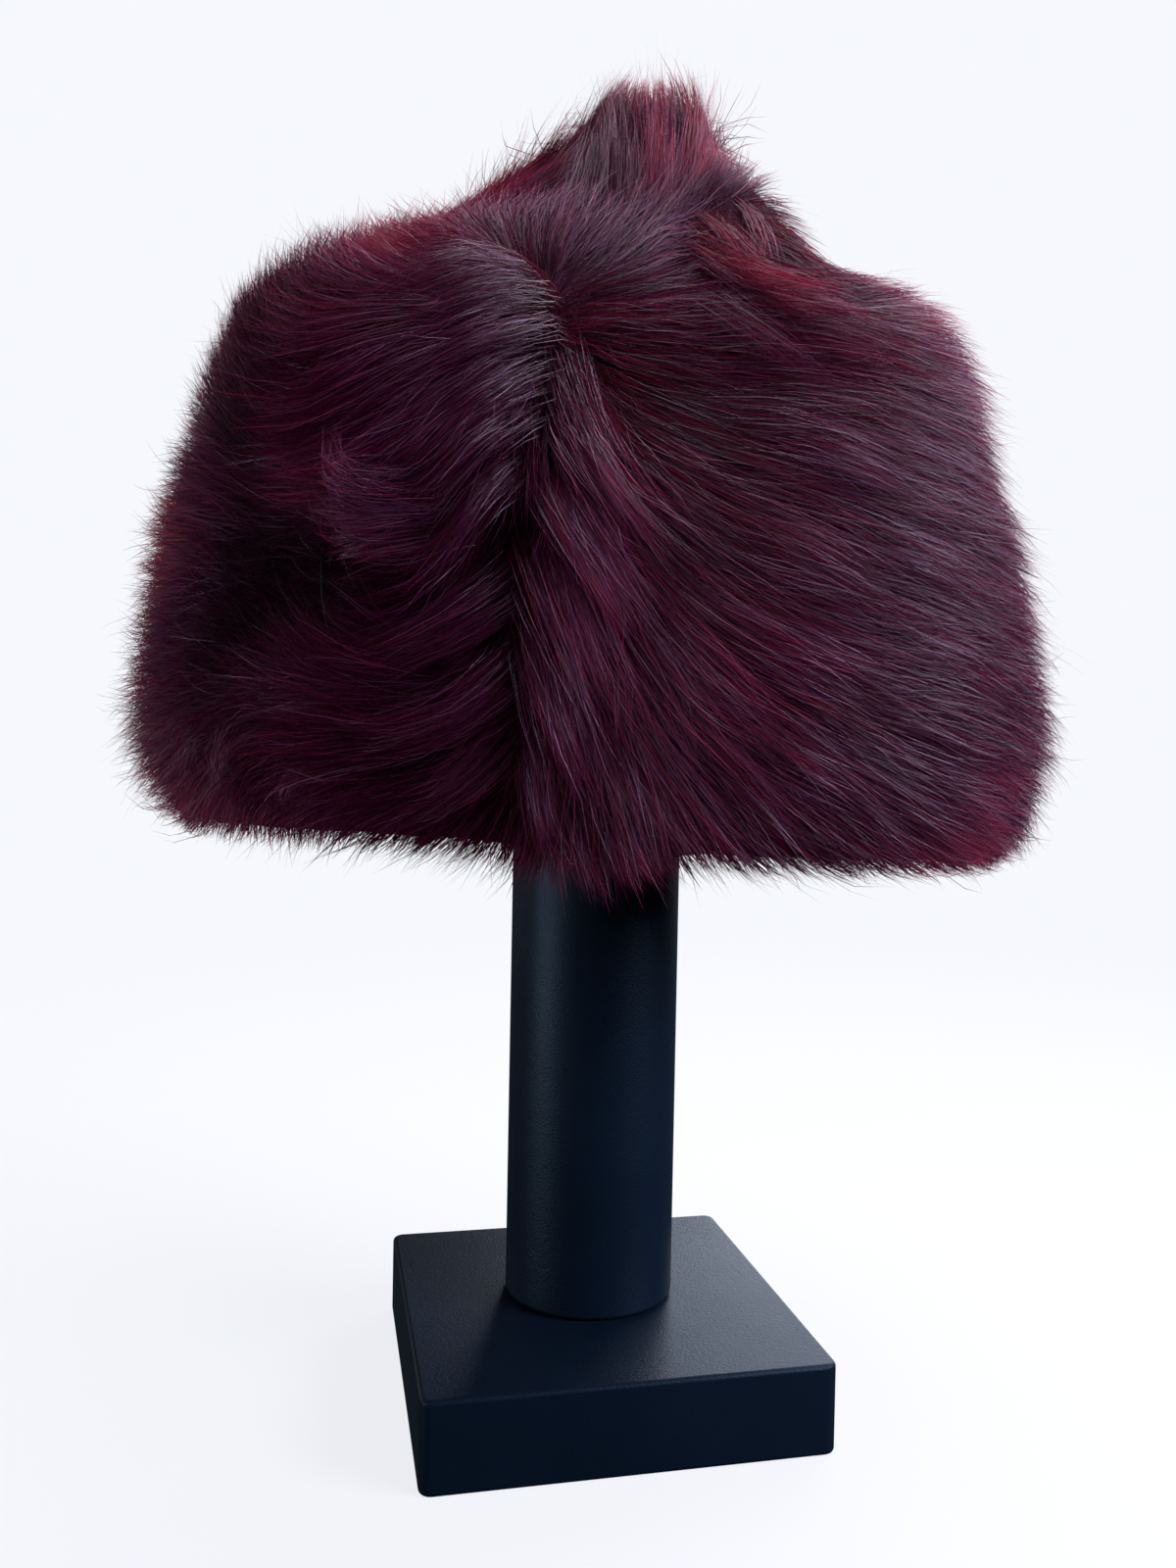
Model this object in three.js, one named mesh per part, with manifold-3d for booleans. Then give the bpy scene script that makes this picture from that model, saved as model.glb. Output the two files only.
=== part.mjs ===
// Faux fur hat on a plain display stand: a square base, a round column, and a soft hat of two
// fur-cloth panels, a side band and a crown, that hangs over the column's top end.
// Millimetres, +Z up. The origin is the middle of the base's underside, and the base's front faces -Y.

import * as THREE from "three";
import { mergeVertices } from "three/addons/utils/BufferGeometryUtils.js";
import Module from "manifold-3d";

const wasm = await Module();
wasm.setup();

// Stand
const BASE_SIDE = 100;
const BASE_HEIGHT = 22;
const BASE_CORNER_RADIUS = 3;
const BASE_EDGE_BEVEL = 1;
const COLUMN_DIAMETER = 45;
const COLUMN_SETBACK = 4;
const COLUMN_TOP = 309;
const COLUMN_END_CHAMFER = 1;
const COLUMN_SIDES = 48;

// Hat, with heights counted from the floor and turns from the base's front
const HAT_TURN_DEG = -18;
const HEM_HEIGHT = 153;
const CREST_HEIGHT = 331;
const CREST_DOME = 2;
const CREST_SHIFT_X = 10;
const CREST_HALF_WIDTH = 13;
const CREST_HALF_DEPTH = 15;
const CLOTH_THICKNESS = 2;
const PIECE_GAP = 0.3;

// The crown rests on the column's top end and falls away from its edge.
const DRAPE_CLEARANCE = 0.4;
const DRAPE_RADIUS = 26.5;
const DRAPE_SLOPE = 1.5;

// Fur: the dense pile is a thick coat on the cloth, and the locks stand proud of it.
const PILE_DEPTH = 11;
const PILE_DEPTH_ON_CREST = 6;
const PILE_BELOW_HEM = 3;
const SEAM_PARTING_DEG = 7;
const SEAM_PARTING_DEPTH = 0.55;
const LOCK_ROOT_LIFT = 5;
const BAND_LOCK_LIFT = 19;
const CROWN_LOCK_LIFT = 18;
const LOCK_FLATNESS = 0.42;
const LOCK_CLEARANCE = 2;

// The hat's surface is read by azimuth, in degrees from the front seam, and by level:
// 0 is the hem, 1 the shoulder seam, 2 the crest's rim over the column, and 3 the crest's middle.
const HEM = 0;
const SHOULDER = 1;
const CREST_RIM = 2;
const CREST_MIDDLE = 3;
const AROUND = 36;
const SEAM_HALF_GAP_LEVEL = 0.004;

// Side band: one row for each section, as half its width and depth and its shift to the side.
const BAND_SECTIONS = [
  { level: 0.0, half_width: 95, half_depth: 96, shift_x: -1 },
  { level: 0.22, half_width: 100, half_depth: 102, shift_x: -2 },
  { level: 0.5, half_width: 95, half_depth: 98, shift_x: -3 },
  { level: 0.8, half_width: 88, half_depth: 92, shift_x: -4 },
  { level: 1.0, half_width: 83, half_depth: 84, shift_x: -6 },
];

// Heights of the hem and of the shoulder seam above the hem's level, by azimuth.
const SHOULDER_LINE = [
  { azimuth: -150, hem: 0, shoulder: 116 },
  { azimuth: -90, hem: 1, shoulder: 117 },
  { azimuth: -50, hem: 0, shoulder: 114 },
  { azimuth: -18, hem: 0, shoulder: 105 },
  { azimuth: 0, hem: -2, shoulder: 96 },
  { azimuth: 22, hem: -3, shoulder: 87 },
  { azimuth: 45, hem: -5, shoulder: 97 },
  { azimuth: 75, hem: -6, shoulder: 113 },
  { azimuth: 120, hem: -4, shoulder: 116 },
  { azimuth: 165, hem: 0, shoulder: 116 },
];

// Crown: how far out each section lies, from the crest at 0 to the shoulder at 1, and how high.
const CROWN_SECTIONS = [
  { level: 1.0, spread: 1.0, rise: 0.0 },
  { level: 1.15, spread: 0.88, rise: 0.12 },
  { level: 1.4, spread: 0.6, rise: 0.36 },
  { level: 1.65, spread: 0.3, rise: 0.6 },
  { level: 1.85, spread: 0.08, rise: 0.8 },
  { level: 2.0, spread: 0.0, rise: 1.0 },
];

// Folds where the crown hangs from the crest, as ridges above and valleys below its plain slope.
const CROWN_FOLDS = [
  { azimuth: -84, height: 2, half_width_deg: 30 },
  { azimuth: -30, height: -5, half_width_deg: 16 },
  { azimuth: 8, height: -6, half_width_deg: 20 },
  { azimuth: 47, height: 13, half_width_deg: 13 },
  { azimuth: 80, height: -11, half_width_deg: 18 },
  { azimuth: 112, height: 4, half_width_deg: 20 },
  { azimuth: 175, height: 6, half_width_deg: 26 },
];

// Dents and swells in the band: the front seam's pull, the hollow on its left and the rolled hem.
const BAND_DENTS = [
  { azimuth: 0, level: 0.95, depth: 7, half_width_deg: 13, half_height: 0.3 },
  { azimuth: 0, level: 0.3, depth: 4, half_width_deg: 8, half_height: 0.6 },
  { azimuth: -30, level: 0.42, depth: 6, half_width_deg: 15, half_height: 0.17 },
  { azimuth: -38, level: 0.1, depth: -3, half_width_deg: 26, half_height: 0.14 },
  { azimuth: 50, level: 0.35, depth: -3, half_width_deg: 34, half_height: 0.4 },
];

// Which way the band's fur lies: degrees below the horizontal, pointing away from the front seam.
const NAP_FALL = [
  { from_seam: 0, fall: 68 },
  { from_seam: 26, fall: 30 },
  { from_seam: 80, fall: 18 },
  { from_seam: 130, fall: 48 },
  { from_seam: 180, fall: 88 },
];

// Rows of locks: how many go round, and each one's length and width.
const BAND_LOCK_ROWS = [
  { level: 0.19, count: 22, length: 30, width: 17 },
  { level: 0.34, count: 21, length: 42, width: 18 },
  { level: 0.57, count: 20, length: 42, width: 17 },
  { level: 0.8, count: 19, length: 40, width: 16 },
  { level: 0.93, count: 17, length: 36, width: 15 },
];
const CROWN_LOCK_ROWS = [
  { level: 1.34, count: 14, length: 32, width: 15 },
  { level: 1.56, count: 11, length: 30, width: 14 },
  { level: 1.76, count: 7, length: 24, width: 12 },
];
const CREST_LOCKS = { level: 1.97, count: 6, rise: 15, lean_x: 3, width: 11 };

// Finishes
const BURGUNDY_FUR = new THREE.MeshStandardMaterial({ color: "#4a1526", roughness: 0.75, metalness: 0 });
const DARK_KNIT = new THREE.MeshStandardMaterial({ color: "#2a0d18", roughness: 0.95, metalness: 0 });
const SATIN_BLACK = new THREE.MeshStandardMaterial({ color: "#11161d", roughness: 0.45, metalness: 0 });

// Reads every column of a table at one place by smooth cubic steps. With a period, the table wraps round.
function readTable(rows, column, at, period = 0) {
  const wrapped = period
    ? [shifted(rows.at(-1), column, -period), ...rows, shifted(rows[0], column, period)]
    : rows;
  const place = period ? wrap(at, wrapped[1][column], period) : at;
  let i = wrapped.findIndex((row) => row[column] >= place) - 1;
  if (i === -2) i = wrapped.length - 2;
  if (i < 0) i = 0;
  const [a, b] = [wrapped[i], wrapped[i + 1]];
  const before = wrapped[i - 1] ?? a;
  const after = wrapped[i + 2] ?? b;
  const span = b[column] - a[column];
  const t = THREE.MathUtils.clamp((place - a[column]) / span, 0, 1);
  const found = {};
  for (const name of Object.keys(a)) {
    const slopeA = ((b[name] - before[name]) / (b[column] - before[column])) * span;
    const slopeB = ((after[name] - a[name]) / (after[column] - a[column])) * span;
    found[name] =
      a[name] * (1 - t) ** 2 * (1 + 2 * t) +
      slopeA * t * (1 - t) ** 2 +
      b[name] * t ** 2 * (3 - 2 * t) -
      slopeB * t ** 2 * (1 - t);
  }
  return found;
}

function shifted(row, column, by) {
  return { ...row, [column]: row[column] + by };
}

function wrap(value, low, period) {
  return low + ((((value - low) % period) + period) % period);
}

// How near a place is to a feature's middle: 1 on it, falling to almost 0 at twice its half width.
function near(distance, halfWidth) {
  return Math.exp(-((distance / halfWidth) ** 2));
}

function azimuthBetween(a, b) {
  return wrap(a - b, -180, 360);
}

// A whole number's own fraction between -1 and 1, so that repeated locks don't look alike.
function unevenness(number) {
  const golden = number * 0.6180339887;
  return 2 * (golden - Math.floor(golden)) - 1;
}

// A point on the cloth's outer face.
function clothPoint(azimuth, level) {
  const turn = THREE.MathUtils.degToRad(azimuth);
  const line = readTable(SHOULDER_LINE, "azimuth", azimuth, 360);
  const section = readTable(BAND_SECTIONS, "level", Math.min(level, SHOULDER));
  let inward = 0;
  for (const dent of BAND_DENTS) {
    const across = near(azimuthBetween(azimuth, dent.azimuth), dent.half_width_deg);
    inward += dent.depth * across * near(level - dent.level, dent.half_height);
  }
  const x = section.shift_x + (section.half_width - inward) * Math.sin(turn);
  const y = -(section.half_depth - inward) * Math.cos(turn);
  const height = THREE.MathUtils.lerp(line.hem, line.shoulder, Math.min(level, SHOULDER));
  if (level <= SHOULDER) return new THREE.Vector3(x, y, HEM_HEIGHT + height);

  const out = THREE.MathUtils.clamp(CREST_MIDDLE - level, 0, 1);
  const rimX = CREST_SHIFT_X + out * CREST_HALF_WIDTH * Math.sin(turn);
  const rimY = -out * CREST_HALF_DEPTH * Math.cos(turn);
  if (level >= CREST_RIM) return new THREE.Vector3(rimX, rimY, CREST_HEIGHT + CREST_DOME * (1 - out ** 2));
  const { spread, rise } = readTable(CROWN_SECTIONS, "level", level);
  const slope = Math.sin(Math.PI * (level - SHOULDER)) ** 2;
  let fold = 0;
  for (const { azimuth: middle, height: ridge, half_width_deg } of CROWN_FOLDS) {
    fold += ridge * near(azimuthBetween(azimuth, middle), half_width_deg) * slope;
  }
  const crownX = THREE.MathUtils.lerp(rimX, x, spread);
  const crownY = THREE.MathUtils.lerp(rimY, y, spread);
  const crownZ = THREE.MathUtils.lerp(HEM_HEIGHT + height, CREST_HEIGHT, rise) + fold;
  const pastEdge = Math.max(Math.hypot(crownX, crownY) - DRAPE_RADIUS, 0);
  const drape = COLUMN_TOP + CLOTH_THICKNESS + DRAPE_CLEARANCE - DRAPE_SLOPE * pastEdge;
  return new THREE.Vector3(crownX, crownY, Math.max(crownZ, drape));
}

// The way out of the cloth, smoothed over a small patch so that both sides of a seam agree.
function clothNormal(azimuth, level) {
  const patchDeg = 4;
  const patchLevel = 0.06;
  if (level > CREST_MIDDLE - patchLevel) return new THREE.Vector3(0, 0, 1);
  const along = clothPoint(azimuth + patchDeg, level).sub(clothPoint(azimuth - patchDeg, level));
  const lower = Math.max(level - patchLevel, HEM);
  const up = clothPoint(azimuth, level + patchLevel).sub(clothPoint(azimuth, lower));
  return along.cross(up).normalize();
}

// A point a given distance out from the cloth, or in if it is negative. Below the hem it hangs straight down.
function hatPoint(azimuth, level, lift) {
  const point = clothPoint(azimuth, Math.max(level, HEM));
  point.addScaledVector(clothNormal(azimuth, Math.max(level, HEM)), lift);
  const bandHeight = 115;
  if (level < HEM) point.z += level * bandHeight;
  return point;
}

// Pile depth: shallow on the crest and in the parting along the front seam.
function pileDepth(azimuth, level) {
  const onCrest = THREE.MathUtils.smoothstep(level, 1.8, CREST_RIM);
  const depth = THREE.MathUtils.lerp(PILE_DEPTH, PILE_DEPTH_ON_CREST, onCrest);
  const parting = near(azimuthBetween(azimuth, 0), SEAM_PARTING_DEG) * SEAM_PARTING_DEPTH;
  const below = THREE.MathUtils.smoothstep(level, SHOULDER, SHOULDER + 0.3);
  return depth * (1 - parting * (1 - below));
}

// A closed mesh from rings of points, listed round the wall's section: up its outer face, over the edge and
// down its inner face. A band's rings run in a loop. A crown's rings start and end in a single point.
// Each face of the wall is cut into triangles along the same lines, so that the faces stay apart.
function ringsToGeometry(rings, looped) {
  const points = [];
  const starts = rings.map((ring) => {
    const start = points.length;
    points.push(...ring.points.map((p) => p.toArray()));
    return start;
  });
  const faces = [];
  const last = looped ? rings.length : rings.length - 1;
  for (let r = 0; r < last; r++) {
    const next = (r + 1) % rings.length;
    const [lower, upper] = [rings[r].points.length, rings[next].points.length];
    const downwards = rings[r].downwards && rings[next].downwards;
    for (let i = 0; i < AROUND; i++) {
      const j = (i + 1) % AROUND;
      const [a, b] = [starts[r] + (i % lower), starts[r] + (j % lower)];
      const [c, d] = [starts[next] + (j % upper), starts[next] + (i % upper)];
      if (upper === 1) faces.push(a, b, c);
      else if (lower === 1) faces.push(a, c, d);
      else if (downwards) faces.push(a, b, d, b, c, d);
      else faces.push(a, b, c, a, c, d);
    }
  }
  const geometry = new THREE.BufferGeometry();
  geometry.setAttribute("position", new THREE.Float32BufferAttribute(points.flat(), 3));
  geometry.setIndex(faces);
  return geometry;
}

function ring(level, liftAt, downwards = false) {
  const points = Array.from({ length: AROUND }, (_, i) => {
    const azimuth = (360 / AROUND) * i - 180;
    return hatPoint(azimuth, level, liftAt(azimuth, level));
  });
  return { points, downwards };
}

function middlePoint(lift) {
  return { points: [hatPoint(0, CREST_MIDDLE, lift)], downwards: false };
}

const BAND_LEVELS = [HEM, 0.1, 0.22, 0.42, 0.62, 0.82, SHOULDER - SEAM_HALF_GAP_LEVEL];
const CROWN_LEVELS = [SHOULDER + SEAM_HALF_GAP_LEVEL, 1.12, 1.3, 1.5, 1.68, 1.84, 1.96, 2.1];

function bandWall(outerLift, innerLift, hemRings = []) {
  const outer = BAND_LEVELS.map((level) => ring(level, outerLift));
  const inner = BAND_LEVELS.map((level) => ring(level, innerLift, true)).reverse();
  return ringsToGeometry([...outer, ...inner, ...hemRings], true);
}

function crownWall(outerLift, innerLift) {
  const outer = CROWN_LEVELS.map((level) => ring(level, outerLift));
  const inner = CROWN_LEVELS.map((level) => ring(level, innerLift, true)).reverse();
  const top = middlePoint(outerLift(0, CREST_MIDDLE));
  const underTop = middlePoint(innerLift(0, CREST_MIDDLE));
  return ringsToGeometry([underTop, ...inner, ...outer, top], false);
}

function toSolid(geometry) {
  const bare = geometry.clone();
  for (const name of Object.keys(bare.attributes)) {
    if (name !== "position") bare.deleteAttribute(name);
  }
  const merged = mergeVertices(bare);
  return new wasm.Manifold(
    new wasm.Mesh({
      numProp: 3,
      vertProperties: new Float32Array(merged.attributes.position.array),
      triVerts: new Uint32Array(merged.index.array),
    }),
  );
}

function toGeometry(solid) {
  const { vertProperties, triVerts } = solid.getMesh();
  const geometry = new THREE.BufferGeometry();
  geometry.setAttribute("position", new THREE.BufferAttribute(vertProperties, 3));
  geometry.setIndex(new THREE.BufferAttribute(triVerts, 1));
  geometry.computeVertexNormals();
  return geometry;
}

// One tapering lock: a flat four-sided spike along a path of points, with the way out of the cloth at each.
function lockGeometry(path, outwards, width) {
  const points = [];
  const faces = [];
  const tip = path.length - 1;
  const fullness = [0.55, 1, 0.7];
  for (let i = 0; i < tip; i++) {
    const along = path[i + 1].clone().sub(path[Math.max(i - 1, 0)]).normalize();
    const side = along.clone().cross(outwards[i]).normalize();
    const out = side.clone().cross(along);
    const half = (width / 2) * fullness[i];
    for (const [across, thick] of [[1, 0], [0, 1], [-1, 0], [0, -1]]) {
      const corner = path[i].clone().addScaledVector(side, across * half);
      points.push(corner.addScaledVector(out, thick * half * LOCK_FLATNESS).toArray());
    }
  }
  points.push(path[tip].toArray());
  faces.push(0, 1, 2, 0, 2, 3);
  for (let i = 0; i < tip; i++) {
    for (let k = 0; k < 4; k++) {
      const [a, b] = [4 * i + k, 4 * i + ((k + 1) % 4)];
      if (i === tip - 1) faces.push(a, 4 * tip, b);
      else faces.push(a, a + 4, b, b, a + 4, b + 4);
    }
  }
  const geometry = new THREE.BufferGeometry();
  geometry.setAttribute("position", new THREE.Float32BufferAttribute(points.flat(), 3));
  geometry.setIndex(faces);
  return geometry;
}

// Where a lock's middle line runs, as shares of its length and of its lift from root to tip.
const LOCK_STATIONS = [
  { run: 0, lift: 0 },
  { run: 0.38, lift: 0.55 },
  { run: 0.74, lift: 0.9 },
  { run: 1, lift: 1 },
];

// A lock that lies along the cloth: falling below the horizontal, to the right or left, as far as its length
// or as far as the room before its panel's edge allows.
function lyingLock({ azimuth, level, fallDeg, side, length, width, tipLift, lowest, highest }) {
  const fall = THREE.MathUtils.degToRad(fallDeg);
  const start = clothPoint(azimuth, level);
  const degreesPerMm = THREE.MathUtils.radToDeg(1 / Math.hypot(start.x, start.y));
  const levelPerMm = 0.06 / clothPoint(azimuth, level - 0.06).distanceTo(start);
  const room = (fallDeg > 0 ? level - lowest : highest - level) / levelPerMm;
  const reach = Math.min(length, room / Math.abs(Math.sin(fall)));
  const path = [];
  const outwards = [];
  for (const { run, lift } of LOCK_STATIONS) {
    const there = azimuth + side * run * reach * Math.cos(fall) * degreesPerMm;
    const at = level - run * reach * Math.sin(fall) * levelPerMm;
    const parting = pileDepth(there, at) / PILE_DEPTH;
    const height = THREE.MathUtils.lerp(LOCK_ROOT_LIFT, tipLift, lift);
    path.push(hatPoint(there, at, Math.max(height * parting, LOCK_ROOT_LIFT)));
    outwards.push(clothNormal(there, at));
  }
  return lockGeometry(path, outwards, width);
}

// The band's locks lie away from the front seam on both sides, and hang a little below the hem.
function bandLocks() {
  const locks = [];
  BAND_LOCK_ROWS.forEach(({ level, count, length, width }, row) => {
    for (let i = 0; i < count; i++) {
      const uneven = unevenness(31 * row + i + 1);
      const azimuth = (360 / count) * (i + 0.5 + 0.22 * uneven) - 180 + 4 * row;
      const fromSeam = azimuthBetween(azimuth, 0);
      const { fall } = readTable(NAP_FALL, "from_seam", Math.abs(fromSeam));
      locks.push(
        lyingLock({
          azimuth,
          level: level - 0.03 * Math.abs(uneven),
          fallDeg: fall + 9 * uneven,
          side: Math.sign(fromSeam) || 1,
          length: length * (1 + 0.16 * uneven),
          width,
          tipLift: BAND_LOCK_LIFT,
          lowest: -0.03,
          highest: 0.86,
        }),
      );
    }
  });
  return locks;
}

// The crown's locks climb to the crest in front, and elsewhere lie down the slope away from the seam.
function crownLocks() {
  const locks = [];
  CROWN_LOCK_ROWS.forEach(({ level, count, length, width }, row) => {
    for (let i = 0; i < count; i++) {
      const uneven = unevenness(17 * row + i + 3);
      const azimuth = (360 / count) * (i + 0.5 + 0.2 * uneven) - 180;
      const inFront = Math.abs(azimuthBetween(azimuth, 12)) < 40;
      locks.push(
        lyingLock({
          azimuth,
          level,
          fallDeg: inFront ? -72 + 10 * uneven : 24 + 12 * uneven,
          side: Math.sign(azimuthBetween(azimuth, 0)) || 1,
          length,
          width,
          tipLift: CROWN_LOCK_LIFT,
          lowest: 1.17,
          highest: 1.97,
        }),
      );
    }
  });
  for (let i = 0; i < CREST_LOCKS.count; i++) {
    const azimuth = (360 / CREST_LOCKS.count) * (i + 0.5);
    const uneven = unevenness(i + 5);
    const foot = hatPoint(azimuth, CREST_LOCKS.level - 0.15, 4);
    const waist = hatPoint(azimuth, CREST_LOCKS.level, 4);
    const { rise, lean_x: lean, width } = CREST_LOCKS;
    const upper = waist.clone().add(new THREE.Vector3(0, 0, rise * 0.45));
    const tip = upper.clone().add(new THREE.Vector3(lean, 0, rise * (0.55 + 0.2 * uneven)));
    const out = clothNormal(azimuth, 1.9).setZ(0).normalize();
    locks.push(lockGeometry([foot, waist, upper, tip], [out, out, out, out], width));
  }
  return locks;
}

// A coat of fur: the locks, kept clear of the cloth, fused to the dense pile.
function furCoat(pile, locks, nearCloth) {
  const clear = toSolid(nearCloth);
  const fused = locks.reduce((coat, lock) => coat.add(toSolid(lock).subtract(clear)), toSolid(pile));
  return toGeometry(fused);
}

function namedMesh(name, geometry, material) {
  const mesh = new THREE.Mesh(geometry, material.clone());
  mesh.name = name;
  return mesh;
}

// Stand base: a plain block with soft corners, its underside on the floor.
function standBase() {
  const half = BASE_SIDE / 2 - BASE_EDGE_BEVEL;
  const round = BASE_CORNER_RADIUS - BASE_EDGE_BEVEL;
  const outline = new THREE.Shape();
  for (const [quarter, cornerX, cornerY] of [[0, 1, 1], [1, -1, 1], [2, -1, -1], [3, 1, -1]]) {
    const from = (quarter * Math.PI) / 2;
    outline.absarc(cornerX * (half - round), cornerY * (half - round), round, from, from + Math.PI / 2);
  }
  const block = new THREE.ExtrudeGeometry(outline, {
    depth: BASE_HEIGHT - 2 * BASE_EDGE_BEVEL,
    bevelSize: BASE_EDGE_BEVEL,
    bevelThickness: BASE_EDGE_BEVEL,
    bevelSegments: 2,
    curveSegments: 4,
  });
  return namedMesh("stand_base", block.translate(0, 0, BASE_EDGE_BEVEL), SATIN_BLACK);
}

// Stand column: a plain round post from the base to the underside of the crown.
function standColumn() {
  const foot = BASE_HEIGHT + PIECE_GAP;
  const top = COLUMN_TOP;
  const radius = COLUMN_DIAMETER / 2;
  const profile = [
    new THREE.Vector2(0, foot),
    new THREE.Vector2(radius, foot),
    new THREE.Vector2(radius, top - COLUMN_END_CHAMFER),
    new THREE.Vector2(radius - COLUMN_END_CHAMFER, top),
    new THREE.Vector2(0, top),
  ];
  const post = new THREE.LatheGeometry(profile, COLUMN_SIDES).rotateX(Math.PI / 2);
  const mesh = namedMesh("stand_column", post, SATIN_BLACK);
  mesh.position.y = COLUMN_SETBACK;
  return mesh;
}

// Hat: two cloth panels that meet at the shoulder seam, each with its own coat of fur.
function hat() {
  const outerFace = () => 0;
  const innerFace = () => -CLOTH_THICKNESS;
  const furRoot = () => PIECE_GAP;
  const lockFloor = () => LOCK_CLEARANCE;
  const hemCurl = ring(-PILE_BELOW_HEM / 115, () => PILE_DEPTH * 0.45);
  const bandPile = bandWall(pileDepth, furRoot, [hemCurl]);
  const crownPile = crownWall(pileDepth, furRoot);
  const group = new THREE.Group();
  group.position.y = COLUMN_SETBACK;
  group.rotation.z = THREE.MathUtils.degToRad(HAT_TURN_DEG);
  group.add(
    namedMesh("side_band", bandWall(outerFace, innerFace), DARK_KNIT),
    namedMesh("crown", crownWall(outerFace, innerFace), DARK_KNIT),
    namedMesh("side_band_fur", furCoat(bandPile, bandLocks(), bandWall(lockFloor, innerFace)), BURGUNDY_FUR),
    namedMesh("crown_fur", furCoat(crownPile, crownLocks(), crownWall(lockFloor, innerFace)), BURGUNDY_FUR),
  );
  return group;
}

const hatOnStand = new THREE.Group();
hatOnStand.add(standBase(), standColumn(), hat());

export default hatOnStand;
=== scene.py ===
# %% [markdown]
# A burgundy faux fur hat hangs over a plain black stand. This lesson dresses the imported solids: the
# stand gets its satin finish, the cloth its knitted back, and the two fur coats become many thousands
# of separate hairs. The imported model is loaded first, because every piece here sits on it and rides
# with it.

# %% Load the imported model
import math

import bpy
import numpy as np
from mathutils import Matrix, Vector
from mathutils.kdtree import KDTree


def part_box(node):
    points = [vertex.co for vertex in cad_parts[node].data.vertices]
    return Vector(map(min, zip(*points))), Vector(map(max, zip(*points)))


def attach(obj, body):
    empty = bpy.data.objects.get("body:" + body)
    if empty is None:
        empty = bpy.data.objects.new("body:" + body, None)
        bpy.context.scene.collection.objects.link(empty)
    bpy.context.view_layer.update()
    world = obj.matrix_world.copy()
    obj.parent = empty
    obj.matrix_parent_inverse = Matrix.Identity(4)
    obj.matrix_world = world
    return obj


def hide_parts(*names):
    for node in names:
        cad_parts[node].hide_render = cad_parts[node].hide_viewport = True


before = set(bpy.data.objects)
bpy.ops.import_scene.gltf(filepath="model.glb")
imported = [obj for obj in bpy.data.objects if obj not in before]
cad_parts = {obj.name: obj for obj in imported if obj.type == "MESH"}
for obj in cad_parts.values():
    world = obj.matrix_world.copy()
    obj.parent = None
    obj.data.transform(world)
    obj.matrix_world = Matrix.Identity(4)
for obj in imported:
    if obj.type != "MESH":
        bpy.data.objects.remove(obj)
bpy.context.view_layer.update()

# %% [markdown]
# The photograph was taken from close by, level with the lower half of the hat and a little to the left
# of the stand's front. The place and angles below come from the base's corners and the column's edges.
# A camera could be aimed with a constraint, but written-out axes also give the slight roll of the
# picture.

# %% Place the camera
CAMERA_PLACE = Vector((-0.0748, -0.3250, 0.1661))
CAMERA_YAW = math.radians(12.37)
CAMERA_PITCH = math.radians(-1.20)
CAMERA_ROLL = math.radians(1.09)
CAMERA_LENS_MM = 28.6

forward = Vector(
    (
        math.sin(CAMERA_YAW) * math.cos(CAMERA_PITCH),
        math.cos(CAMERA_YAW) * math.cos(CAMERA_PITCH),
        math.sin(CAMERA_PITCH),
    )
)
level_right = Vector((math.cos(CAMERA_YAW), -math.sin(CAMERA_YAW), 0.0))
level_up = level_right.cross(forward)
picture_right = level_right * math.cos(CAMERA_ROLL) + level_up * math.sin(CAMERA_ROLL)
picture_up = level_up * math.cos(CAMERA_ROLL) - level_right * math.sin(CAMERA_ROLL)


def add_object(name, data):
    made = bpy.data.objects.new(name, data)
    bpy.context.collection.objects.link(made)
    return made


camera_data = bpy.data.cameras.new("photo_camera")
camera_data.sensor_width = 36.0
camera_data.lens = CAMERA_LENS_MM
camera_data.clip_start = 0.01
camera = add_object("photo_camera", camera_data)
turn = Matrix((picture_right, picture_up, -forward)).transposed()
camera.matrix_world = Matrix.Translation(CAMERA_PLACE) @ turn.to_4x4()
bpy.context.scene.camera = camera
print("camera looks along", [round(value, 3) for value in forward])

# %% [markdown]
# Finishes are node trees. Wiring them by hand hides the idea, so one small class wraps a socket and
# lets plain Python sums make the Math nodes. The reflected forms let a number come first.

# %% A socket that can be added and multiplied
class Wire:
    def __init__(self, finish, socket):
        self.finish = finish
        self.socket = socket

    def math(self, operation, first, second):
        return self.finish.add("ShaderNodeMath", {"operation": operation}, {0: first, 1: second})[0]

    def __add__(self, other):
        return self.math("ADD", self, other)

    def __radd__(self, other):
        return self.math("ADD", other, self)

    def __sub__(self, other):
        return self.math("SUBTRACT", self, other)

    def __rsub__(self, other):
        return self.math("SUBTRACT", other, self)

    def __mul__(self, other):
        return self.math("MULTIPLY", self, other)

    def __rmul__(self, other):
        return self.math("MULTIPLY", other, self)


print("sockets can be added, subtracted and multiplied")

# %% [markdown]
# The second class holds a material, or the world. Its add method makes any node from its type, its
# settings and the values or links of its sockets. Its set method feeds the main shader's own sockets by
# name.

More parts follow.
